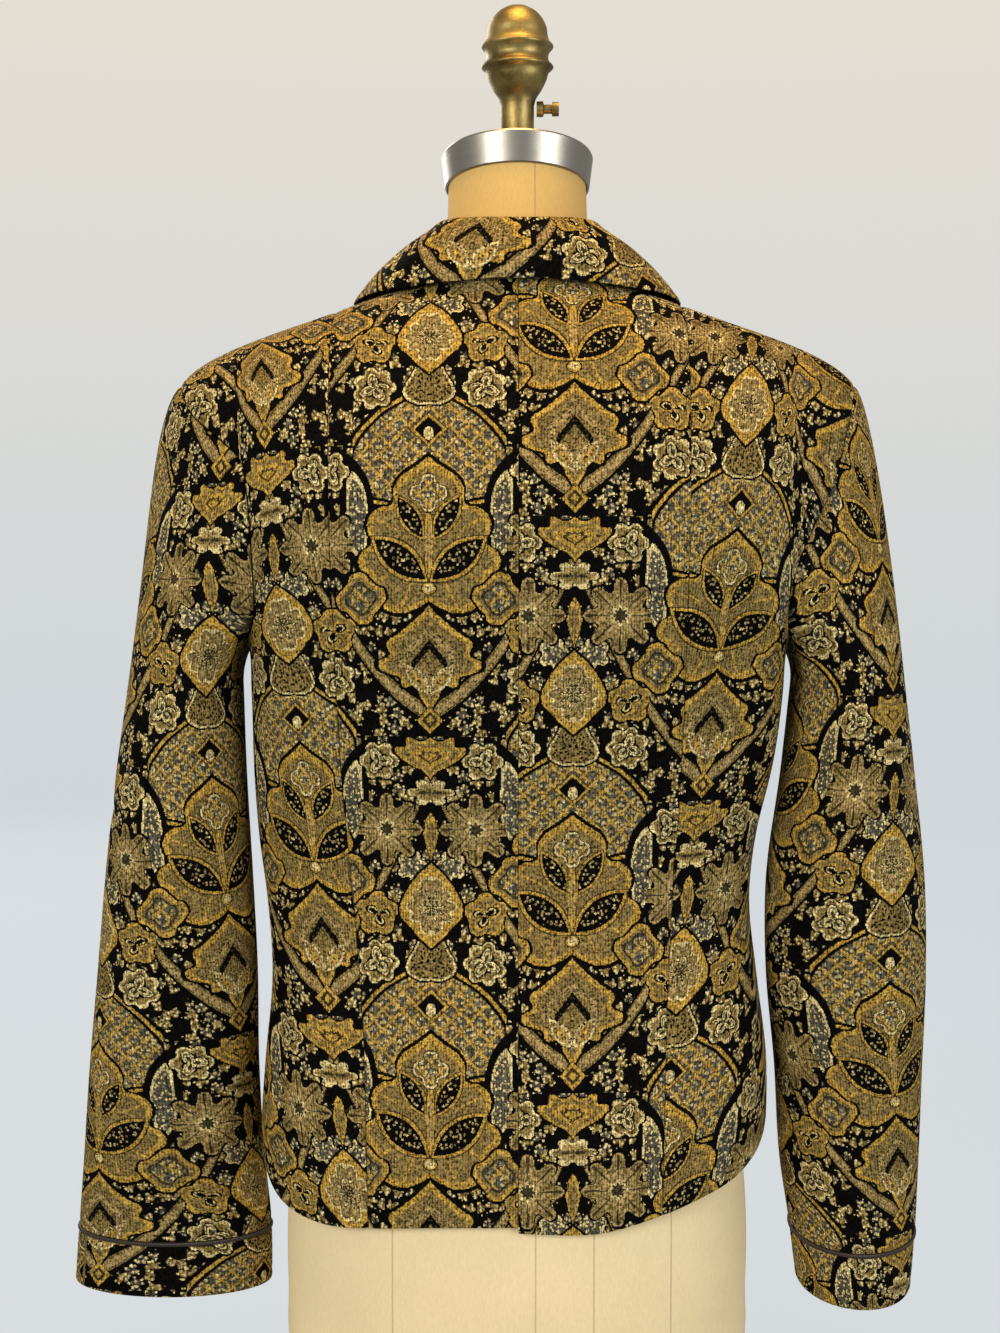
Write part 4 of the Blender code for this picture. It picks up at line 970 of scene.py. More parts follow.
def collar_curve(step, count):
    """Points across the collar at one step: up the stand, round the fold and down the fall."""
    place = abs(step)
    side = np.array([1.0 if step >= 0 else -1.0, 1.0, 1.0])
    sewn = along_path(NECKLINE, place)
    inward = -unit(np.array([sewn[0], sewn[1], 0.0]))
    sewn = sewn + inward * WALL + np.array([0, 0, COLLAR_SEAT])
    fold = sewn + inward * float(COLLAR["lean"](place)) + np.array([0, 0, float(COLLAR["stand"](place))])
    edge = roof_point(float(COLLAR["edge_x"](place)), float(COLLAR["edge_y"](place)),
                      float(COLLAR["edge_lift"](place)))
    sewn, fold, edge = sewn * side, fold * side, edge * side
    fall = unit(edge - fold)
    stand = unit(fold - sewn)
    outward = unit(np.array([edge[0] - fold[0], edge[1] - fold[1], 0.0]) + 1e-9)
    radius = FOLD_RADIUS * (1 - COLLAR_FOLD_NARROWING * place)
    turn_start = fold - stand * radius
    turn_end = fold + outward * 2 * radius + fall * radius
    top = fold + outward * radius + np.array([0, 0, radius * COLLAR_TOP_RISE])
    bulge = unit(np.cross(np.cross(fall, outward), fall) * -1 + np.array([0, 0, 1e-9]))
    if bulge[2] < 0:
        bulge = -bulge
    across = [sewn, sewn + (turn_start - sewn) * 0.5, turn_start, top, turn_end]
    for part in COLLAR_FALL_PARTS:
        rise = COLLAR_FALL_BULGE * 4 * part * (1 - part)
        across.append(turn_end + (edge - turn_end) * part + bulge * rise)
    return smooth_path(np.array(across), count)


def lapel_grid(side, rows, columns):
    """A lapel as out, depth and height on the front, from the roll line to its outer edge."""
    shape = LAPEL[side]
    steps = np.linspace(0, 1, rows)
    parts = np.linspace(0, 1, columns)
    roll_height = shape["roll_height"](steps)[:, None]
    edge_height = shape["edge_height"](steps)[:, None]
    height = roll_height + (edge_height - roll_height) * parts
    start = roll_out(roll_height) + SEAM_GAP
    out = start + (shape["edge_out"](steps)[:, None] - start) * parts
    return out, depth_at(side, "front", out, height), height


def make_mesh(name, points, faces, look, cloth=None, sharp=60):
    """One object from whole arrays of points and faces, with its cloth coordinates as a UV map."""
    mesh = bpy.data.meshes.new(name)
    mesh.from_pydata([tuple(point) for point in np.asarray(points, dtype=float).tolist()], [], faces)
    if cloth is not None:
        layer = mesh.uv_layers.new(name="cloth")
        corners = np.zeros(len(mesh.loops), dtype=np.int32)
        mesh.loops.foreach_get("vertex_index", corners)
        layer.data.foreach_set("uv", np.asarray(cloth, dtype=np.float32)[corners].reshape(-1))
    mesh.materials.append(look)
    mesh.shade_smooth()
    mesh.set_sharp_from_angle(angle=math.radians(sharp))
    thing = bpy.data.objects.new(name, mesh)
    bpy.context.scene.collection.objects.link(thing)
    return thing


def rounded(outer, inner, ring):
    """Bring the edge rows of a wall's two grids a little together, so that its rim looks rolled."""
    outer, inner = outer.copy(), inner.copy()
    edges = [(0,), (-1,)]
    if not ring:
        edges += [(slice(None), 0), (slice(None), -1)]
    for edge in edges:
        gap = (inner[edge] - outer[edge]) * RIM_ROUNDING
        outer[edge] += gap
        inner[edge] -= gap
    return outer, inner


def place_piece(thing, node):
    """Let a piece ride the body and stand for its CAD node."""
    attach(thing, "root")
    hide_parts(node)


def add_shell(name, outer, inner, cloth, look, ring=False, slot="brocade"):
    """A closed thin shell between two equal grids, its faces looking outward."""
    rows, columns = outer.shape[:2]
    row, column = rows // 2, columns // 2
    here = outer[row, column]
    facing = np.cross(outer[row, (column + 1) % columns] - here, outer[row + 1, column] - here)
    flip = facing @ (here - inner[row, column]) > 0
    outer, inner = rounded(outer, inner, ring)
    points = np.concatenate([outer.reshape(-1, 3), inner.reshape(-1, 3)])
    faces = [face[::-1] for face in grid_faces(rows, columns, ring)]
    faces += grid_faces(rows, columns, ring, rows * columns) + rim_faces(rows, columns, ring)
    if flip:
        faces = [face[::-1] for face in faces]
    both = np.concatenate([cloth.reshape(-1, 2)] * 2)
    shells[name] = make_mesh(f"{name}_shell", points, faces, look, both)
    place_piece(shells[name], name)


shells = {}
NECKLINE = neck_edge()


def build_panels(look):
    """Shells of the back, side and front panels."""
    panels = (
        ("centre_back", "back", ("middle", "princess")),
        ("side_back", "back", ("princess", "outer")),
        ("side_front", "front", ("princess", "outer")),
        ("front", "front", ("roll", "princess")),
    )
    for side in SIGN:
        for name, face, seams in panels:
            sink = under_lap_sink if (name, side) == ("front", "left") else None
            add_shell(f"{name}_{side}", *panel_sheet(side, face, seams, sink), look)


def picked(outer, inner, cloth, picks):
    """Columns of a ring grid, half a seam gap in at both sides."""
    parts = []
    for grid in (outer, inner):
        part = grid[:, picks].copy()
        part[:, 0] += unit(part[:, 1] - part[:, 0]) * SEAM_GAP / 2
        part[:, -1] += unit(part[:, -2] - part[:, -1]) * SEAM_GAP / 2
        parts.append(part)
    return parts[0], parts[1], cloth[:, picks]


def build_sleeves(look, ribbon):
    """Shells of the top and under sleeves, the cuff piping and the cuff bands."""
    hindarm = HINDARM_COLUMN * SLEEVE_FINENESS
    forearm = FOREARM_COLUMN * SLEEVE_FINENESS
    half = PIPING_HEIGHT / 2
    beats = np.linspace(math.pi / 2, -math.pi / 2, PIPING_ROWS)
    levels = np.linspace(CUFF_SEAM_HEIGHT - half - SEAM_GAP, CUFF_HEM_HEIGHT, CUFF_ROWS)
    for side in SIGN:
        grid, cloth = sleeve_sheet(side)
        inner, _ = tube_inner(grid, WALL)
        count = grid.shape[1]
        wrapped = cloth.copy()
        wrapped[:, forearm:, 0] -= SLEEVE_GIRTH
        top = np.arange(forearm, count + hindarm + 1) % count
        add_shell(f"top_sleeve_{side}", *picked(grid, inner, wrapped, top), look)
        under = np.arange(hindarm, forearm + 1)
        add_shell(f"under_sleeve_{side}", *picked(grid, inner, cloth, under), look)

        angles = circle(count)
        piping, cuff = (np.array([dipped(sleeve_ring(side, level, angles), CUFF_SEAM_DIP) for level in rows])
                        for rows in (CUFF_SEAM_HEIGHT + half * np.sin(beats), levels))
        piping_inner, normal = tube_inner(piping, WALL)
        piping = piping + normal * (PIPING_PROUD * np.cos(beats))[:, None, None]
        round_sleeve = np.broadcast_to(angles / (2 * math.pi) * SLEEVE_GIRTH, piping.shape[:2])
        across = np.stack([round_sleeve, piping[..., 2]], axis=-1)
        add_shell(f"cuff_piping_{side}", piping, piping_inner, across, ribbon, ring=True, slot="ribbon")

        cuff_inner, normal = tube_inner(cuff, WALL)
        top_gap = levels[0] - levels
        hem_gap = levels - levels[-1] - CUFF_STITCH_RISE
        sink = SEAM_VALLEY * np.exp(-(top_gap / SEAM_VALLEY_WIDTH) ** 2)
        sink = sink + CUFF_STITCH_DEPTH * np.exp(-(hem_gap / SEAM_VALLEY_WIDTH) ** 2)
        drop = (levels - levels[0] - SEAM_VALLEY_WIDTH)[:, None]
        cuff_cloth = np.stack([np.broadcast_to(cloth[-1, :, 0], cuff.shape[:2]), cloth[-1, :, 1] + drop],
                              axis=-1)
        cuff = cuff - normal * sink[:, None, None]
        add_shell(f"cuff_{side}", cuff, cuff_inner, cuff_cloth, look, ring=True)


def build_collar(look):
    """The folded collar, its cloth coordinates running along its length and across the fall."""
    steps = np.linspace(-1, 1, COLLAR_STEPS)
    grid, across = (np.array(made) for made in zip(*[collar_curve(step, COLLAR_POINTS) for step in steps]))
    normal = unit(np.cross(np.gradient(grid, axis=0), np.gradient(grid, axis=1)))
    if normal[COLLAR_STEPS // 2, COLLAR_POINTS * 2 // 5, 2] < 0:
        normal = -normal
    walked = lengths(grid[:, COLLAR_POINTS // 2 + 1])
    length = np.broadcast_to((walked - walked[-1] / 2)[:, None], across.shape)
    cloth = np.stack([length - PLACES["collar"][0], PLACES["collar"][1] - across], axis=-1)
    add_shell("collar", grid, grid - normal * WALL, cloth, look)


def build_lapels(look):
    """Lapels, turned back on the fronts."""
    for side in SIGN:
        out, depth, height = lapel_grid(side, LAPEL_ROWS, LAPEL_COLUMN_COUNT)
        normal = body_normal(side, "front", out, depth, height)
        inner = in_world(side, "front", out, depth, height) + normal * LAPEL_LIFT
        cloth = np.stack([LAPEL_PLACE[0] - out, height - LAPEL_PLACE[1]], axis=-1)
        add_shell(f"lapel_{side}", inner + normal * WALL, inner, cloth, look)


def closed_rings(node, rings, look, tip_end=None, sharp=40):
    """A stack of rings, closed at both ends, as one piece."""
    rows, sides = rings.shape[:2]
    points = list(rings.reshape(-1, 3))
    faces = grid_faces(rows, sides, True)
    faces.append(list(range(sides))[::-1])
    last = np.arange(sides) + (rows - 1) * sides
    if tip_end is None:
        faces.append(last.tolist())
    else:
        points.append(np.array(tip_end))
        faces += np.stack([last, np.roll(last, -1), np.full(sides, rows * sides)], axis=1).tolist()
    place_piece(make_mesh(f"{node}_shown", points, faces, look, sharp=sharp), node)


def build_buttons(look):
    """Round buttons with a raised rim, down the middle of the right front."""
    scaled = np.array(BUTTON_PROFILE) * (BUTTON_RADIUS, BUTTON_THICKNESS)
    for number, height in enumerate(BUTTON_HEIGHTS, start=1):
        level = np.array(height)
        depth = float(depth_at("right", "front", np.array(0.0), level))
        normal = body_normal("right", "front", np.array(0.0), np.array(depth), level)
        rings = lathe(scaled, ROUND_SIDES)
        up = unit(np.cross(np.array([1.0, 0, 0]), -normal))
        side = np.cross(up, normal)
        base = np.array([0, -depth, height]) + normal * BUTTON_SEAT
        world = base + rings[..., :1] * side + rings[..., 1:2] * up + rings[..., 2:] * normal
        closed_rings(f"button_{number}", world[:, ::-1], look)


def build_form(linen, metal, brass, iron):
    """Torso, neck cap, finial, thumb screw, pole and foot."""
    levels = np.concatenate([FORM_FOOT_LEVELS, np.linspace(0.118, NECK_TOP_HEIGHT, 150)])
    closed_rings("torso", np.array([form_ring(level) for level in levels]), linen, sharp=50)

    cap_foot = NECK_TOP_HEIGHT - CAP_DROP
    tilt = math.tan(NECK_TILT)
    rings = lathe(CAP_PROFILE, 96)
    rings[..., 2] += rings[..., 1] * tilt + cap_foot
    rings[..., 1] += CAP_MIDDLE[1]
    closed_rings("neck_cap", rings, metal, sharp=30)

    plate_top = cap_foot + CAP_HEIGHT
    profile, _ = smooth_path(np.array(FINIAL_PROFILE[1:]), 90)
    rings = lathe(np.concatenate([FINIAL_PROFILE[:1], profile]), 64)
    rings[0, :, 2] = rings[0, :, 1] * tilt
    rings += (0.0, CAP_MIDDLE[1], plate_top + SEAM_GAP)
    tip = (0.0, CAP_MIDDLE[1], plate_top + SEAM_GAP + FINIAL_TOP)
    closed_rings("finial", rings, brass, tip_end=tip, sharp=60)

    rings = lathe([(radius, out) for out, radius in SCREW_PROFILE], ROUND_SIDES)
    turned = np.stack([-rings[..., 2], rings[..., 1], rings[..., 0]], axis=-1)
    turned += (0.0, CAP_MIDDLE[1], plate_top + SCREW_HEIGHT)
    closed_rings("thumb_screw", turned, brass)

    closed_rings("foot", lathe(FOOT_PROFILE, 128), iron)
    pole = ((POLE_RADIUS, FOOT_HEIGHT + SEAM_GAP), (POLE_RADIUS, FORM_SECTIONS[0][0] - SEAM_GAP))
    closed_rings("pole", lathe(pole, 48), iron)


def build_stage():
    """A pale floor that curves up all round and glows with painted light, warmer toward the top, the camera
    and soft studio lights.
    """
    profile = [(0.001, 0.0), (1.0, 0.0), (2.5, 0.0), (FLOOR_RADIUS, 0.0)]
    for turn in np.linspace(0, math.pi / 2, 14)[1:]:
        profile.append((FLOOR_RADIUS + FLOOR_BEND * math.sin(turn), FLOOR_BEND * (1 - math.cos(turn))))
    profile.append((FLOOR_RADIUS + FLOOR_BEND, BACKDROP_TOP))
    rings = lathe(profile, 96)
    look, wires, place = begun("backdrop", BACKDROP_COLOR, 1.0, specular=0.0)
    # Painted light: the backdrop glows bluish low down and warm toward the top, and brighter to the camera
    # than to the pieces
    share = wires.least(wires.math("DIVIDE", wires.split(place)[2], BACKDROP_FADE), 1.0)
    wires.feed("Emission Color", wires.mix(share, BACKDROP_LOW, BACKDROP_HIGH))
    ray = wires.node("ShaderNodeLightPath", []).outputs["Is Camera Ray"]
    shown = [("Value", ray), ("To Min", BACKDROP_GLOW), ("To Max", BACKDROP_SHOWN)]
    glow = wires.node("ShaderNodeMapRange", shown)
    wires.feed("Emission Strength", glow.outputs["Result"])
    floor = make_mesh("floor", rings.reshape(-1, 3), grid_faces(len(profile), 96, True), look)
    world = bpy.data.worlds.new("studio")
    bpy.context.scene.world = world
    world.use_nodes = True
    sky = world.node_tree.nodes["Background"].inputs
    sky["Color"].default_value = (0.93, 0.95, 1.0, 1.0)
    sky["Strength"].default_value = WORLD_LIGHT
    for name, place, aim, size, power, color in LAMPS:
        lamp = bpy.data.lights.new(name, "AREA")
        lamp.shape = "DISK"
        lamp.size = size
        lamp.energy = power
        lamp.color = color
        thing = bpy.data.objects.new(name, lamp)
        bpy.context.scene.collection.objects.link(thing)
        thing.location = place
        thing.rotation_euler = (Vector(aim) - Vector(place)).to_track_quat("-Z", "Y").to_euler()
    eye = bpy.data.cameras.new("camera")
    eye.sensor_fit = "HORIZONTAL"
    eye.sensor_width = 36.0
    eye.lens = CAMERA_LENS
    camera = bpy.data.objects.new("camera", eye)
    bpy.context.scene.collection.objects.link(camera)
    camera.location = CAMERA_PLACE
    camera.rotation_euler = (math.radians(90) - CAMERA_PITCH, 0.0, math.radians(180))
    bpy.context.scene.camera = camera
    bpy.context.scene.view_settings.view_transform = "Standard"


def plain(name, color, roughness, metallic=0.0):
    """A plain Principled material."""
    made = bpy.data.materials.new(name)
    made.use_nodes = True
    shader = made.node_tree.nodes["Principled BSDF"]
    shader.inputs["Base Color"].default_value = (*color, 1.0)
    shader.inputs["Roughness"].default_value = roughness
    shader.inputs["Metallic"].default_value = metallic
    return made


# Yarn colours of the woven cloth
GROUND = (0.0025, 0.0022, 0.0020)
TAUPE = (0.044, 0.034, 0.016)
KHAKI = (0.205, 0.145, 0.046)
TAN = (0.310, 0.222, 0.082)
OCHRE = (0.400, 0.250, 0.045)
CREAM = (0.560, 0.455, 0.200)
GREY = (0.080, 0.074, 0.052)

# Repeat of the pattern: gap between neighbouring axes, height of a repeat, where it starts
AXIS_GAP = 0.096
REPEAT_HEIGHT = 0.3665
REPEAT_START = -0.121
YARN = 0.00065
RIB = 0.00175
WEFT = 0.0011
LINE_SCALE = 0.8
VINE_FOOT = -0.106
VINE_CLIMB = 0.45
VINE_BEND = 11.0
VINE_WIDTH = 0.0070
SPECKS = 330.0
SPRIGS = 120.0
LATTICE = 0.0062

# Outlines by direction, from straight down (-90) over the side (0) to straight up (90)
PALMETTE = ((-90, 0.0340), (-78, 0.0400), (-62, 0.0470), (-46, 0.0480), (-34, 0.0440), (-27, 0.0415),
            (-16, 0.0455), (-5, 0.0420), (3, 0.0355), (12, 0.0385), (24, 0.0410), (38, 0.0380),
            (48, 0.0340), (58, 0.0410), (68, 0.0455), (78, 0.0480), (90, 0.0545))
CUP = ((-90, 0.0330), (-76, 0.0240), (-60, 0.0190), (-44, 0.0235), (-32, 0.0215), (-18, 0.0270),
       (-4, 0.0325), (8, 0.0255), (24, 0.0290), (36, 0.0265), (50, 0.0255), (66, 0.0265), (78, 0.0290),
       (90, 0.0350))
CONE = ((-90, 0.0265), (-70, 0.0215), (-45, 0.0190), (-20, 0.0205), (0, 0.0200), (20, 0.0185),
        (45, 0.0190), (70, 0.0220), (90, 0.0275))
CROWN = ((-90, 0.0120), (-50, 0.0150), (-20, 0.0170), (0, 0.0150), (30, 0.0130), (60, 0.0155), (90, 0.0210))
FAN = ((-90, 0.0300), (-50, 0.0420), (-25, 0.0520), (-5, 0.0510), (8, 0.0470), (20, 0.0430),
       (40, 0.0390), (60, 0.0370), (90, 0.0400))
BOUQUET = ((-90, 0.0140), (-60, 0.0100), (-30, 0.0120), (0, 0.0190), (14, 0.0230), (26, 0.0170),
           (40, 0.0195), (55, 0.0130), (72, 0.0115), (90, 0.0135))
SPINDLE = ((-90, 0.0180), (-70, 0.0085), (-40, 0.0052), (0, 0.0046), (30, 0.0060), (60, 0.0080),
           (75, 0.0130), (90, 0.0180))


def petals(count, long, short, turn=0.0, blunt=1.0):
    """An outline with equal petals, as direction and radius all the way round."""
    rows = []
    for place in range(count * 4 + 1):
        part = place / (count * 4)
        beat = abs(math.cos(math.pi * (part * count + turn))) ** blunt
        rows.append((part, short + (long - short) * beat))
    return rows


def start_group(name, inputs, outputs):
    """A new shader node group with its sockets: its wires, and the links that come in."""
    tree = bpy.data.node_groups.new(name, "ShaderNodeTree")
    for way, sockets in (("INPUT", inputs), ("OUTPUT", outputs)):
        for title, kind in sockets.items():
            tree.interface.new_socket(title, in_out=way, socket_type=f"NodeSocket{kind}")
    return Wires(tree), tree.nodes.new("NodeGroupInput").outputs


def end_group(wires, *values):
    """Give a group's results out."""
    end = wires.tree.nodes.new("NodeGroupOutput")
    for place, value in enumerate(values):
        wires.tree.links.new(value, end.inputs[place])
    return wires.tree


class Wires:
    """Lays shader nodes in a tree and joins them."""

    def __init__(self, tree):
        self.tree = tree

    def node(self, kind, feeds, **settings):
        """A node with its settings, its sockets fed with links or plain values."""
        made = self.tree.nodes.new(kind)
        for name, value in settings.items():
            setattr(made, name, value)
        for place, value in feeds:
            if isinstance(value, bpy.types.NodeSocket):
                self.tree.links.new(value, made.inputs[place])
            elif value is not None:
                made.inputs[place].default_value = value
        return made

    def math(self, operation, *values):
        """The result of one sum."""
        return self.node("ShaderNodeMath", list(enumerate(values)), operation=operation).outputs[0]

    def times(self, *values):
        """Two values multiplied."""
        return self.math("MULTIPLY", *values)

    def line(self, *values):
        """The first value times the second plus the third."""
        return self.math("MULTIPLY_ADD", *values)

    def plus(self, *values):
        """Two values added."""
        return self.math("ADD", *values)

    def minus(self, *values):
        """The first value less the second."""
        return self.math("SUBTRACT", *values)

    def size(self, value):
        """A value without its sign."""
        return self.math("ABSOLUTE", value)

    def least(self, *values):
        """The smaller of two values."""
        return self.math("MINIMUM", *values)

    def most(self, *values):
        """The larger of two values."""
        return self.math("MAXIMUM", *values)

    def below(self, *values):
        """1 where the first value is less than the second, otherwise 0."""
        return self.math("LESS_THAN", *values)

    def above(self, *values):
        """1 where the first value is more than the second, otherwise 0."""
        return self.math("GREATER_THAN", *values)

    def inside(self, share, part):
        """1 inside a part of a motif's outline, otherwise 0."""
        return self.below(share, part * LINE_SCALE)

    def diamond(self, spot, centre, size):
        """Share of a diamond: width and height from its middle, added."""
        x, y, _ = self.split(self.placed(spot, centre, size))
        return self.times(self.plus(self.size(x), self.size(y)), LINE_SCALE)

    def feed(self, socket, value):
        """Feed a socket of the material's Principled shader."""
        self.tree.links.new(value, self.tree.nodes["Principled BSDF"].inputs[socket])

    def shade(self, color, light):
        """A colour made lighter or darker."""
        feeds = [(0, 1.0), (6, color), (7, light)]
        return self.node("ShaderNodeMix", feeds, data_type="RGBA", blend_type="MULTIPLY").outputs[2]

    def vector(self, operation, *values):
        """The vector result of one vector sum."""
        return self.node("ShaderNodeVectorMath", list(enumerate(values)), operation=operation).outputs[0]

    def length(self, value):
        """The length of a vector."""
        return self.node("ShaderNodeVectorMath", [(0, value)], operation="LENGTH").outputs[1]

    def mix(self, share, first, second):
        """A colour between two."""
        feeds = [(0, share)]
        for place, color in ((6, first), (7, second)):
            feeds.append((place, (*color, 1.0) if isinstance(color, tuple) else color))
        return self.node("ShaderNodeMix", feeds, data_type="RGBA").outputs[2]

    def split(self, value):
        """The three parts of a vector."""
        return self.node("ShaderNodeSeparateXYZ", [(0, value)]).outputs

    def join(self, x, y, z=0.0):
        """A vector from its parts."""
        return self.node("ShaderNodeCombineXYZ", [(0, x), (1, y), (2, z)]).outputs[0]

    def curve(self, value, points):
        """A number read off a curve through points from 0 to 1."""
        made = self.node("ShaderNodeFloatCurve", [(0, 1.0), (1, value)])
        line = made.mapping.curves[0]
        line.points[0].location = points[0]
        line.points[1].location = points[-1]
        for point in points[1:-1]:
            line.points.new(*point)
        made.mapping.update()
        return made.outputs[0]

    def paint(self, base, value, stops):
        """A motif laid over the colours under it: plain bands by share of its outline."""
        made = self.node("ShaderNodeValToRGB", [(0, value)])
        ramp = made.color_ramp
        ramp.interpolation = "CONSTANT"
        rows = [(start * LINE_SCALE, (*color, 1.0)) for start, color in stops[:-1]]
        rows.append((stops[-1][0] * LINE_SCALE, (0.0, 0.0, 0.0, 0.0)))
        ramp.elements[0].position, ramp.elements[0].color = rows[0]
        ramp.elements[1].position, ramp.elements[1].color = rows[-1]
        for position, color in rows[1:-1]:
            ramp.elements.new(position).color = color
        return self.mix(made.outputs[1], base, made.outputs[0])

    def oval(self, base, spot, centre, size, stops):
        """An oval motif."""
        share = self.times(self.length(self.placed(spot, centre, size)), LINE_SCALE)
        return self.paint(base, share, stops)

    def leaf(self, spot, centre, size, turn):
        """Share of a pointed leaf: across, it narrows toward both tips."""
        x, y, _ = self.split(self.placed(spot, centre, size, turn))
        long = self.times(x, x)
        wide = self.size(y)
        return self.times(self.plus(long, wide), LINE_SCALE)

    def filled(self, base, spot, centre, rows, stops, fill, part, **settings):
        """An outlined motif whose middle, up to a part of its outline, shows a filling."""
        bare, share, _ = self.outline(base, spot, centre, rows, stops, **settings)
        return self.mix(self.inside(share, part), bare, fill)

    def placed(self, spot, centre, size, turn=0.0):
        """The place within a motif, counted from its centre and turned, in shares of its size."""
        away = self.vector("SUBTRACT", spot, (*centre, 0.0))
        if turn:
            made = self.node("ShaderNodeVectorRotate", [(0, away), (3, -turn)], rotation_type="Z_AXIS")
            away = made.outputs[0]
        return self.vector("MULTIPLY", away, (1 / size[0], 1 / size[1], 0.0))

    def outline(self, base, spot, centre, rows, stops, full=False, turn=0.0, stretch=(1.0, 1.0), wave=None):
        """A motif whose radius follows a table by direction: half a turn, or a full one. A wave,
        as count and amount, bends its inner bands into petals."""
        away = self.placed(spot, centre, stretch, turn)
        x, y, _ = self.split(away)
        angle = self.math("ARCTAN2", y, x)
        if full:
            part = self.line(angle, 1 / (2 * math.pi), 0.5)
            points = rows
        else:
            part = self.line(angle, 1 / math.pi, 0.5)
            points = [(turned / 180 + 0.5, radius) for turned, radius in rows]
        largest = max(radius for _, radius in points)
        radius = self.curve(part, [(where, radius / largest) for where, radius in points])
        share = self.math("DIVIDE", self.length(away), radius)
        share = self.times(share, LINE_SCALE / largest)
        if wave is None:
            return self.paint(base, share, stops), share, part
        beat = self.math("COSINE", self.times(part, wave[0] * 2 * math.pi))
        room = self.minus(LINE_SCALE * 0.95, share)
        room = self.most(room, 0.0)
        bent = self.line(self.times(beat, room), wave[1], share)
        return self.paint(base, bent, stops), share, part


def brocade_group():
    """The woven pattern: mirrored axes a half drop apart, each with a stack of motifs."""
    wires, entry = start_group("brocade_pattern", {"Cloth": "Vector"}, {"Color": "Color"})
    snapped = wires.vector("SNAP", entry[0], (YARN, YARN, 1.0))
    u, v, _ = wires.split(snapped)
    axis = wires.math("FLOOR", wires.line(u, 1 / AXIS_GAP, 0.5))
    across = wires.size(wires.line(axis, -AXIS_GAP, u))
    dropped = wires.line(axis, -REPEAT_HEIGHT / 2, v)
    start = wires.line(dropped, 1 / REPEAT_HEIGHT, -REPEAT_START / REPEAT_HEIGHT)
    repeat = wires.math("FLOOR", start)
    up = wires.line(repeat, -REPEAT_HEIGHT, dropped)
    spot = wires.join(across, up)
    lap = wires.math("FLOOR", wires.plus(wires.minus(start, repeat), 0.5))
    up_there = wires.plus(wires.line(lap, -REPEAT_HEIGHT, up), REPEAT_HEIGHT / 2)
    there = wires.join(wires.minus(AXIS_GAP, across), up_there)

    dots = wires.node("ShaderNodeTexVoronoi", [(0, spot), ("Scale", SPECKS)], voronoi_dimensions="2D")
    dot = dots.outputs["Distance"]
    dot_color = wires.split(dots.outputs["Color"])[0]
    sprigs = wires.node("ShaderNodeTexVoronoi", [(0, spot), ("Scale", SPRIGS)], voronoi_dimensions="2D")
    sprig = sprigs.outputs["Distance"]
    sprig_color = wires.split(sprigs.outputs["Color"])

    # Ground with small sprigs
    leafy = wires.below(wires.plus(sprig, wires.times(dot, 0.60)), 0.66)
    some = wires.above(sprig_color[0], 0.30)
    tint = wires.mix(wires.above(sprig_color[1], 0.45), GREY, KHAKI)
    tint = wires.mix(wires.below(dot, 0.30), tint, CREAM)
    color = wires.mix(wires.times(leafy, some), GROUND, tint)

    # Mosaic fan behind the palmette
    slant = wires.plus(across, up)
    tilt = wires.minus(up, across)
    lattice = wires.least(wires.math("PINGPONG", slant, LATTICE), wires.math("PINGPONG", tilt, LATTICE))
    mosaic = wires.mix(wires.below(dot, 0.36), GREY, wires.mix(dot_color, KHAKI, CREAM))
    mosaic = wires.mix(wires.below(lattice, 0.0011), mosaic, OCHRE)
    rim = ((0.0, GROUND), (0.93, GROUND), (0.98, OCHRE), (1.04, GROUND), (1.1, GROUND))
    color = wires.filled(color, spot, (0.0, 0.058), FAN, rim, mosaic, 0.93)

    # Vines
    near = wires.times(across, across)
    own = wires.line(near, VINE_BEND, wires.line(across, VINE_CLIMB, VINE_FOOT))
    beyond = wires.minus(AXIS_GAP, across)
    far = wires.times(beyond, beyond)
    other = wires.line(far, VINE_BEND, wires.line(beyond, VINE_CLIMB, VINE_FOOT + REPEAT_HEIGHT / 2))
    vine = wires.least(wires.size(wires.minus(up, own)),
                      wires.size(wires.minus(up, other)))
    vine_share = wires.times(vine, LINE_SCALE / VINE_WIDTH)
    color = wires.paint(color, vine_share,
                        ((0.0, TAN), (0.50, TAUPE), (0.58, KHAKI), (0.72, GROUND), (1.1, GROUND)))

    # Scale crown
    scales = wires.mix(wires.below(wires.size(wires.minus(dot, 0.12)), 0.14),
                       KHAKI, GROUND)
    rim = ((0.0, GROUND), (0.9, CREAM), (1.0, GROUND), (1.08, GROUND))
    color = wires.filled(color, spot, (0.0, 0.100), CROWN, rim, scales, 0.9)

    # Black diamond with a cream sprig
    color = wires.paint(color, wires.diamond(spot, (0.0, 0.0715), (0.0125, 0.0115)),
                        ((0.0, GROUND), (0.72, OCHRE), (0.9, TAUPE), (1.0, GROUND)))
    color = wires.oval(color, spot, (0.0, 0.0690), (0.0032, 0.0042), ((0.0, CREAM), (1.0, GROUND)))

    # Hooked paisleys beside the palmette
    grey_fill = wires.mix(wires.below(dot, 0.28), GREY, CREAM)
    shares = []
    for place in (spot, there):
        x, y, _ = wires.split(wires.placed(place, (0.0450, 0.018), (0.0100, 0.0400)))
        hook = wires.times(wires.math("POWER", wires.size(y), 3.0), wires.math("SIGN", y))
        bent = wires.join(wires.line(hook, -1.2, x), y)
        shares.append(wires.times(wires.length(bent), LINE_SCALE))
    share = wires.least(*shares)
    bare = wires.paint(color, share, ((0.0, GREY), (0.56, CREAM), (0.70, GROUND), (1.1, GROUND)))
    color = wires.mix(wires.inside(share, 0.54), bare, grey_fill)

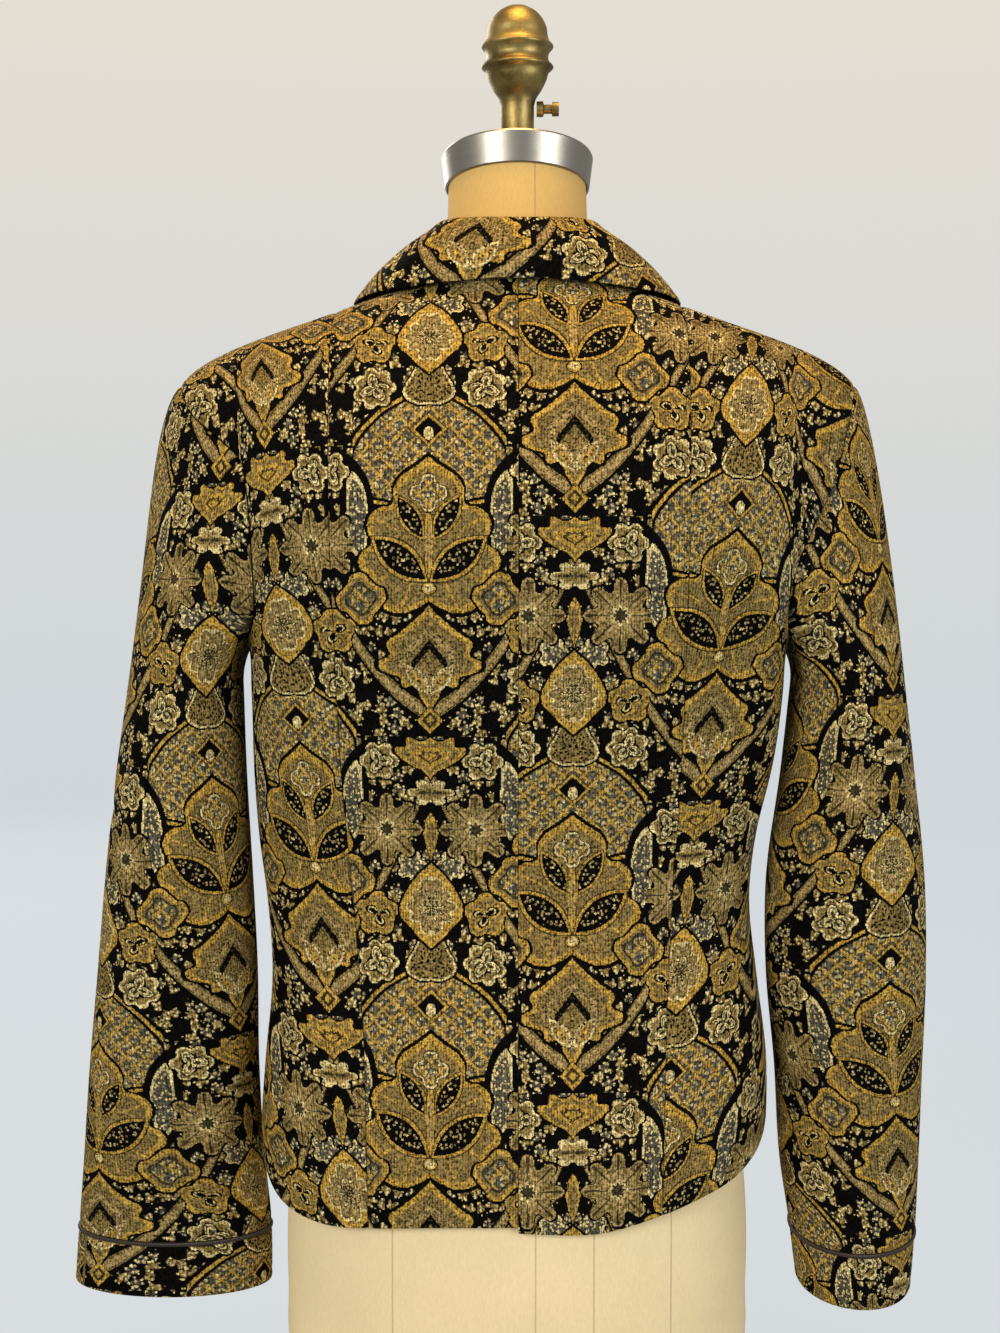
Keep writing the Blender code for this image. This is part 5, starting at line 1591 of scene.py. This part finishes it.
    # Large palmette
    color, share, part = wires.outline(color, spot, (0.0, 0.0), PALMETTE,
                                       ((0.0, KHAKI), (0.90, OCHRE), (1.0, GROUND), (1.05, GROUND)))
    lobes = wires.math("PINGPONG", wires.plus(part, 0.035), 0.085)
    ribbed = wires.times(wires.below(lobes, 0.007),
                        wires.times(wires.above(share, 0.52 * LINE_SCALE),
                                   wires.inside(share, 0.92)))
    color = wires.mix(ribbed, color, OCHRE)
    filled = wires.mix(wires.below(dot, 0.27), GROUND, wires.mix(dot_color, KHAKI, CREAM))
    leaves = (((0.0180, -0.0085), (0.0225, 0.0098), 38), ((0.0112, 0.0170), (0.0165, 0.0066), 58))
    for centre, size, turn in leaves:
        leaf = wires.leaf(spot, centre, size, math.radians(turn))
        color = wires.paint(color, leaf, ((0.0, GROUND), (0.80, OCHRE), (1.02, TAUPE), (1.12, GROUND)))
        color = wires.mix(wires.inside(leaf, 0.62), color, filled)
    color = wires.oval(color, spot, (0.0, 0.0010), (0.0030, 0.0240),
                       ((0.0, TAN), (0.55, OCHRE), (0.9, TAUPE), (1.0, GROUND)))
    rim = ((0.0, GREY), (0.80, CREAM), (0.92, TAUPE), (1.0, GROUND))
    color = wires.filled(color, spot, (0.0, 0.0320), petals(4, 0.0125, 0.0085), rim, mosaic, 0.78, full=True)
    color = wires.oval(color, spot, (0.0, -0.0265), (0.0048, 0.0042),
                       ((0.0, CREAM), (0.62, OCHRE), (0.84, GROUND), (1.0, GROUND)))

    # Side buds
    rim = ((0.0, GREY), (0.56, TAUPE), (0.66, KHAKI), (0.82, OCHRE), (1.0, GROUND), (1.1, GROUND))
    bud = petals(4, 0.0165, 0.0110, 0.1)
    for place in (spot, there):
        color = wires.filled(color, place, (0.0430, -0.0330), bud, rim, mosaic, 0.54, full=True)

    # Cup
    color, share, part = wires.outline(color, spot, (0.0, -0.0720), CUP,
                                       ((0.0, KHAKI), (0.45, TAN), (0.60, KHAKI), (0.86, OCHRE),
                                        (1.0, GROUND), (1.09, GROUND)))
    bent = wires.line(across, 1.25, up)
    arch = wires.times(wires.below(across, 0.0112),
                      wires.below(wires.size(wires.plus(bent, 0.0615)), 0.0032))
    color = wires.mix(arch, color, GROUND)
    leaf = wires.leaf(spot, (0.0075, -0.0840), (0.0115, 0.0050), math.radians(52))
    color = wires.paint(color, leaf, ((0.0, OCHRE), (0.34, TAN), (0.72, CREAM), (1.0, GROUND)))
    inner = wires.times(wires.inside(share, 0.80),
                       wires.below(dot, 0.20))
    color = wires.mix(inner, color, TAUPE)
    color = wires.paint(color, wires.diamond(spot, (0.0, -0.1105), (0.0090, 0.0095)),
                        ((0.0, OCHRE), (0.30, TAUPE), (0.58, OCHRE), (0.92, GROUND), (1.0, GROUND)))

    # Flowers and buds between the axes
    shell = ((0.0, TAUPE), (0.14, CREAM), (0.34, GREY), (0.44, CREAM), (0.58, GROUND), (0.68, KHAKI),
             (0.86, CREAM), (1.0, GROUND), (1.1, GROUND))
    gold = ((0.0, GROUND), (0.12, CREAM), (0.26, GROUND), (0.42, OCHRE), (0.62, KHAKI), (0.86, OCHRE),
            (1.0, GROUND), (1.1, GROUND))
    flowers = (
        ((0.0345, 0.0985), petals(7, 0.0140, 0.0112), shell, (3.5, 0.5)),
        ((0.0350, 0.1290), petals(5, 0.0145, 0.0110, 0.2), gold, (2.5, 0.6)),
        ((0.0330, 0.2290), petals(6, 0.0130, 0.0100), shell, (3.0, -0.5)),
    )
    for centre, rows, stops, wave in flowers:
        color, _, _ = wires.outline(color, spot, centre, rows, stops, full=True, wave=wave)
    rim = ((0.0, GREY), (0.78, CREAM), (0.95, GROUND), (1.1, GROUND))
    bud = petals(5, 0.0105, 0.0075)
    color = wires.filled(color, spot, (0.0125, 0.1600), bud, rim, grey_fill, 0.76, full=True)

    # Lilies
    color, share, part = wires.outline(color, spot, (0.0285, 0.1840), petals(8, 0.0235, 0.0150, 0.0, 1.4),
                                       ((0.0, TAUPE), (0.20, CREAM), (0.28, TAN), (0.66, KHAKI), (0.90, TAN),
                                        (1.0, GROUND), (1.07, GROUND)), full=True)
    veins = wires.times(wires.below(wires.math("PINGPONG", part, 1 / 16), 0.0065),
                       wires.times(wires.above(share, 0.3 * LINE_SCALE),
                                  wires.inside(share, 0.95)))
    color = wires.mix(veins, color, TAUPE)

    # Stem, blossom and bouquet on the axis
    color, _, _ = wires.outline(color, spot, (0.0, 0.1790), SPINDLE,
                                ((0.0, KHAKI), (0.62, OCHRE), (0.9, GROUND), (1.0, GROUND)))
    blossom = ((0.0, TAUPE), (0.24, KHAKI), (0.62, TAN), (0.82, CREAM), (1.0, GROUND), (1.1, GROUND))
    color, _, _ = wires.outline(color, spot, (0.0, 0.2085), petals(6, 0.0150, 0.0100), blossom, full=True,
                                stretch=(1.0, 0.6), wave=(3.0, 0.6))
    color, _, _ = wires.outline(color, spot, (0.0, 0.2315), BOUQUET,
                                ((0.0, OCHRE), (0.22, TAUPE), (0.34, OCHRE), (0.6, KHAKI), (0.82, OCHRE),
                                 (1.0, GROUND), (1.1, GROUND)))

    # Small cone palmette
    color, _, _ = wires.outline(color, spot, (0.0, 0.1345), CONE,
                                ((0.0, TAUPE), (0.12, CREAM), (0.22, TAUPE), (0.30, TAN), (0.56, KHAKI),
                                 (0.70, CREAM), (0.78, OCHRE), (1.0, GROUND), (1.08, GROUND)),
                                wave=(5.0, 0.35))

    return end_group(wires, color)


def weave_group():
    """Light and height of the yarns: unevenness, ribs and weft steps."""
    wires, entry = start_group("weave", {"Cloth": "Vector"}, {"Light": "Float", "Height": "Float"})
    cloth = entry[0]
    snapped = wires.vector("SNAP", cloth, (YARN, YARN, 1.0))
    noise = wires.node("ShaderNodeTexWhiteNoise", [(0, snapped)], noise_dimensions="2D").outputs[0]
    mottle = wires.node("ShaderNodeTexNoise", [("Vector", cloth), ("Scale", 520.0), ("Detail", 2.0),
                                               ("Roughness", 0.7)], noise_dimensions="2D").outputs[0]
    u, v, _ = wires.split(cloth)
    rib = wires.math("COSINE", wires.times(u, 2 * math.pi / RIB))
    weft = wires.math("COSINE", wires.times(v, 2 * math.pi / WEFT))
    light = wires.line(rib, 0.24, wires.line(noise, 0.55, -1.00))
    light = wires.line(weft, 0.07, wires.line(mottle, 3.2, light))
    speck = wires.node("ShaderNodeTexVoronoi", [(0, cloth), ("Scale", 400.0)], voronoi_dimensions="2D")
    dark = wires.below(speck.outputs["Distance"], 0.24)
    bright = wires.above(wires.split(speck.outputs["Color"])[0], 0.74)
    light = wires.line(dark, -0.38, wires.line(bright, 0.42, light))
    light = wires.most(light, 0.10)
    height = wires.line(rib, 0.6, wires.times(noise, 0.5))
    height = wires.line(mottle, 1.5, height)
    return end_group(wires, light, height)


def begun(name, color, roughness, metallic=0.0, specular=None, cloth=False):
    """A plain material, its wires and the place on it: on the flat cloth or in the object's own space."""
    made = plain(name, color, roughness, metallic)
    if specular is not None:
        made.node_tree.nodes["Principled BSDF"].inputs["Specular IOR Level"].default_value = specular
    wires = Wires(made.node_tree)
    if cloth:
        return made, wires, wires.node("ShaderNodeUVMap", [], uv_map="cloth").outputs[0]
    return made, wires, wires.node("ShaderNodeTexCoord", []).outputs["Object"]


def from_group(wires, tree, *values):
    """Results of a shader node group, fed with links or plain values."""
    made = wires.node("ShaderNodeGroup", [])
    made.node_tree = tree
    for place, value in enumerate(values):
        if isinstance(value, bpy.types.NodeSocket):
            wires.tree.links.new(value, made.inputs[place])
        else:
            made.inputs[place].default_value = value
    return made.outputs


def grain_group():
    """Uneven grain: noise on a place that is stretched by its own amount each way."""
    wires, entry = start_group("grain", {"Place": "Vector", "Stretch": "Vector"}, {"Share": "Float"})
    spread = wires.vector("MULTIPLY", entry[0], entry[1])
    noise = wires.node("ShaderNodeTexNoise", [("Vector", spread), ("Scale", 1.0), ("Detail", 3.0)])
    return end_group(wires, noise.outputs[0])


def grain(wires, place, *stretch):
    """The grain group in a material, with that material's own stretch."""
    return from_group(wires, bpy.data.node_groups.get("grain") or grain_group(), place, stretch)[0]


def raised(wires, height, strength, distance):
    """A bump of the surface, fed to the material's normal."""
    bump = wires.node("ShaderNodeBump", [("Strength", strength), ("Distance", distance), ("Height", height)])
    wires.feed("Normal", bump.outputs[0])


def brocade_material():
    """The woven cloth."""
    made, wires, cloth = begun("brocade", KHAKI, 0.8, specular=0.04, cloth=True)
    light, height = from_group(wires, weave_group(), cloth)
    wires.feed("Base Color", wires.shade(from_group(wires, brocade_group(), cloth)[0], light))
    raised(wires, height, 0.5, 0.0004)
    return made


# Fine seams of the form's linen, as distance from the middle toward the wearer's left
LINEN_SEAMS = (0.080, -0.011, -0.048, -0.098)
LINEN_SEAM_HALF_WIDTH = 0.0005
# Heights over which painted warm overhead light turns the linen deeper and more golden toward the top
PAINTED_WARM_LIGHT_FROM = 0.35
PAINTED_WARM_LIGHT_FULL = 0.80
CORD = 0.0011


def linen_material():
    """Tan linen over the form: fine weave, soft unevenness, thin vertical seams and painted warm light that
    makes it deeper and more golden toward the top.
    """
    made, wires, place = begun("linen", (0.60, 0.42, 0.21), 0.85, specular=0.2)
    x, _, z = wires.split(place)
    gap = 1.0
    for out in LINEN_SEAMS:
        gap = wires.least(gap, wires.size(wires.minus(x, out)))
    threads = grain(wires, place, 900.0, 900.0, 260.0)
    light = wires.line(threads, 0.22, wires.line(grain(wires, place, 14.0, 14.0, 14.0), 0.22, 0.77))
    # Painted warm light: the linen colour turns deeper and more golden from these heights up
    painted_warm_light = wires.node("ShaderNodeMapRange", [(0, z), (1, PAINTED_WARM_LIGHT_FROM), (2, PAINTED_WARM_LIGHT_FULL)]).outputs[0]
    cloth = wires.mix(painted_warm_light, (0.85, 0.690, 0.395), (0.70, 0.455, 0.150))
    seam = wires.times(wires.below(gap, LINEN_SEAM_HALF_WIDTH), 0.45)
    wires.feed("Base Color", wires.shade(wires.mix(seam, cloth, (0.30, 0.19, 0.08)), light))
    raised(wires, threads, 0.25, 0.0004)
    return made


def aluminium_material():
    """Turned aluminium: fine marks that run round the cap."""
    made, wires, place = begun("aluminium", (0.63, 0.64, 0.65), 0.34, 1.0)
    _, y, z = wires.split(place)
    tilted = wires.line(y, -math.tan(NECK_TILT), z)
    marks = grain(wires, wires.join(0.0, 0.0, tilted), 1.0, 1.0, 1900.0)
    light = wires.line(marks, 0.34, wires.line(grain(wires, place, 60.0, 60.0, 300.0), 0.22, 0.30))
    wires.feed("Base Color", wires.mix(light, (0.20, 0.19, 0.16), (0.60, 0.56, 0.48)))
    raised(wires, marks, 0.4, 0.0002)
    return made


def brass_material():
    """Aged cast brass: dark in patches, with a slightly rough skin."""
    made, wires, place = begun("brass", (0.38, 0.25, 0.08), 0.46, 1.0)
    share = wires.line(grain(wires, place, 55.0, 55.0, 55.0), 2.2, -0.65)
    share = wires.least(wires.most(share, 0.0), 1.0)
    wires.feed("Base Color", wires.mix(share, (0.13, 0.095, 0.032), (0.50, 0.38, 0.135)))
    raised(wires, grain(wires, place, 420.0, 420.0, 420.0), 0.35, 0.0006)
    return made


def ribbon_material():
    """Dark brown corded ribbon with fine ribs across it."""
    made, wires, cloth = begun("ribbon", (0.020, 0.012, 0.008), 0.45, cloth=True)
    rib = wires.math("SINE", wires.times(wires.split(cloth)[0], 2 * math.pi / CORD))
    color = wires.mix(wires.line(rib, 0.5, 0.5), (0.012, 0.007, 0.005), (0.040, 0.026, 0.018))
    wires.feed("Base Color", color)
    raised(wires, rib, 0.5, 0.0003)
    return made


def horn_material():
    """Dark horn-like buttons with faint streaks."""
    made, wires, place = begun("horn", (0.050, 0.033, 0.022), 0.3)
    streak = grain(wires, place, 160.0, 160.0, 500.0)
    wires.feed("Base Color", wires.mix(streak, (0.022, 0.014, 0.010), (0.090, 0.062, 0.042)))
    return made


def iron_material():
    """Dark enamelled stand."""
    made, wires, place = begun("iron", (0.03, 0.03, 0.032), 0.45, 0.3)
    rough = grain(wires, place, 260.0, 260.0, 260.0)
    wires.feed("Base Color", wires.mix(rough, (0.022, 0.022, 0.024), (0.045, 0.045, 0.048)))
    raised(wires, rough, 0.2, 0.0004)
    return made


brocade = brocade_material()
ribbon = ribbon_material()
horn = horn_material()
linen = linen_material()
aluminium = aluminium_material()
brass = brass_material()
iron = iron_material()
build_panels(brocade)
build_sleeves(brocade, ribbon)
build_collar(brocade)
build_lapels(brocade)
build_buttons(horn)
build_form(linen, aluminium, brass, iron)
build_stage()
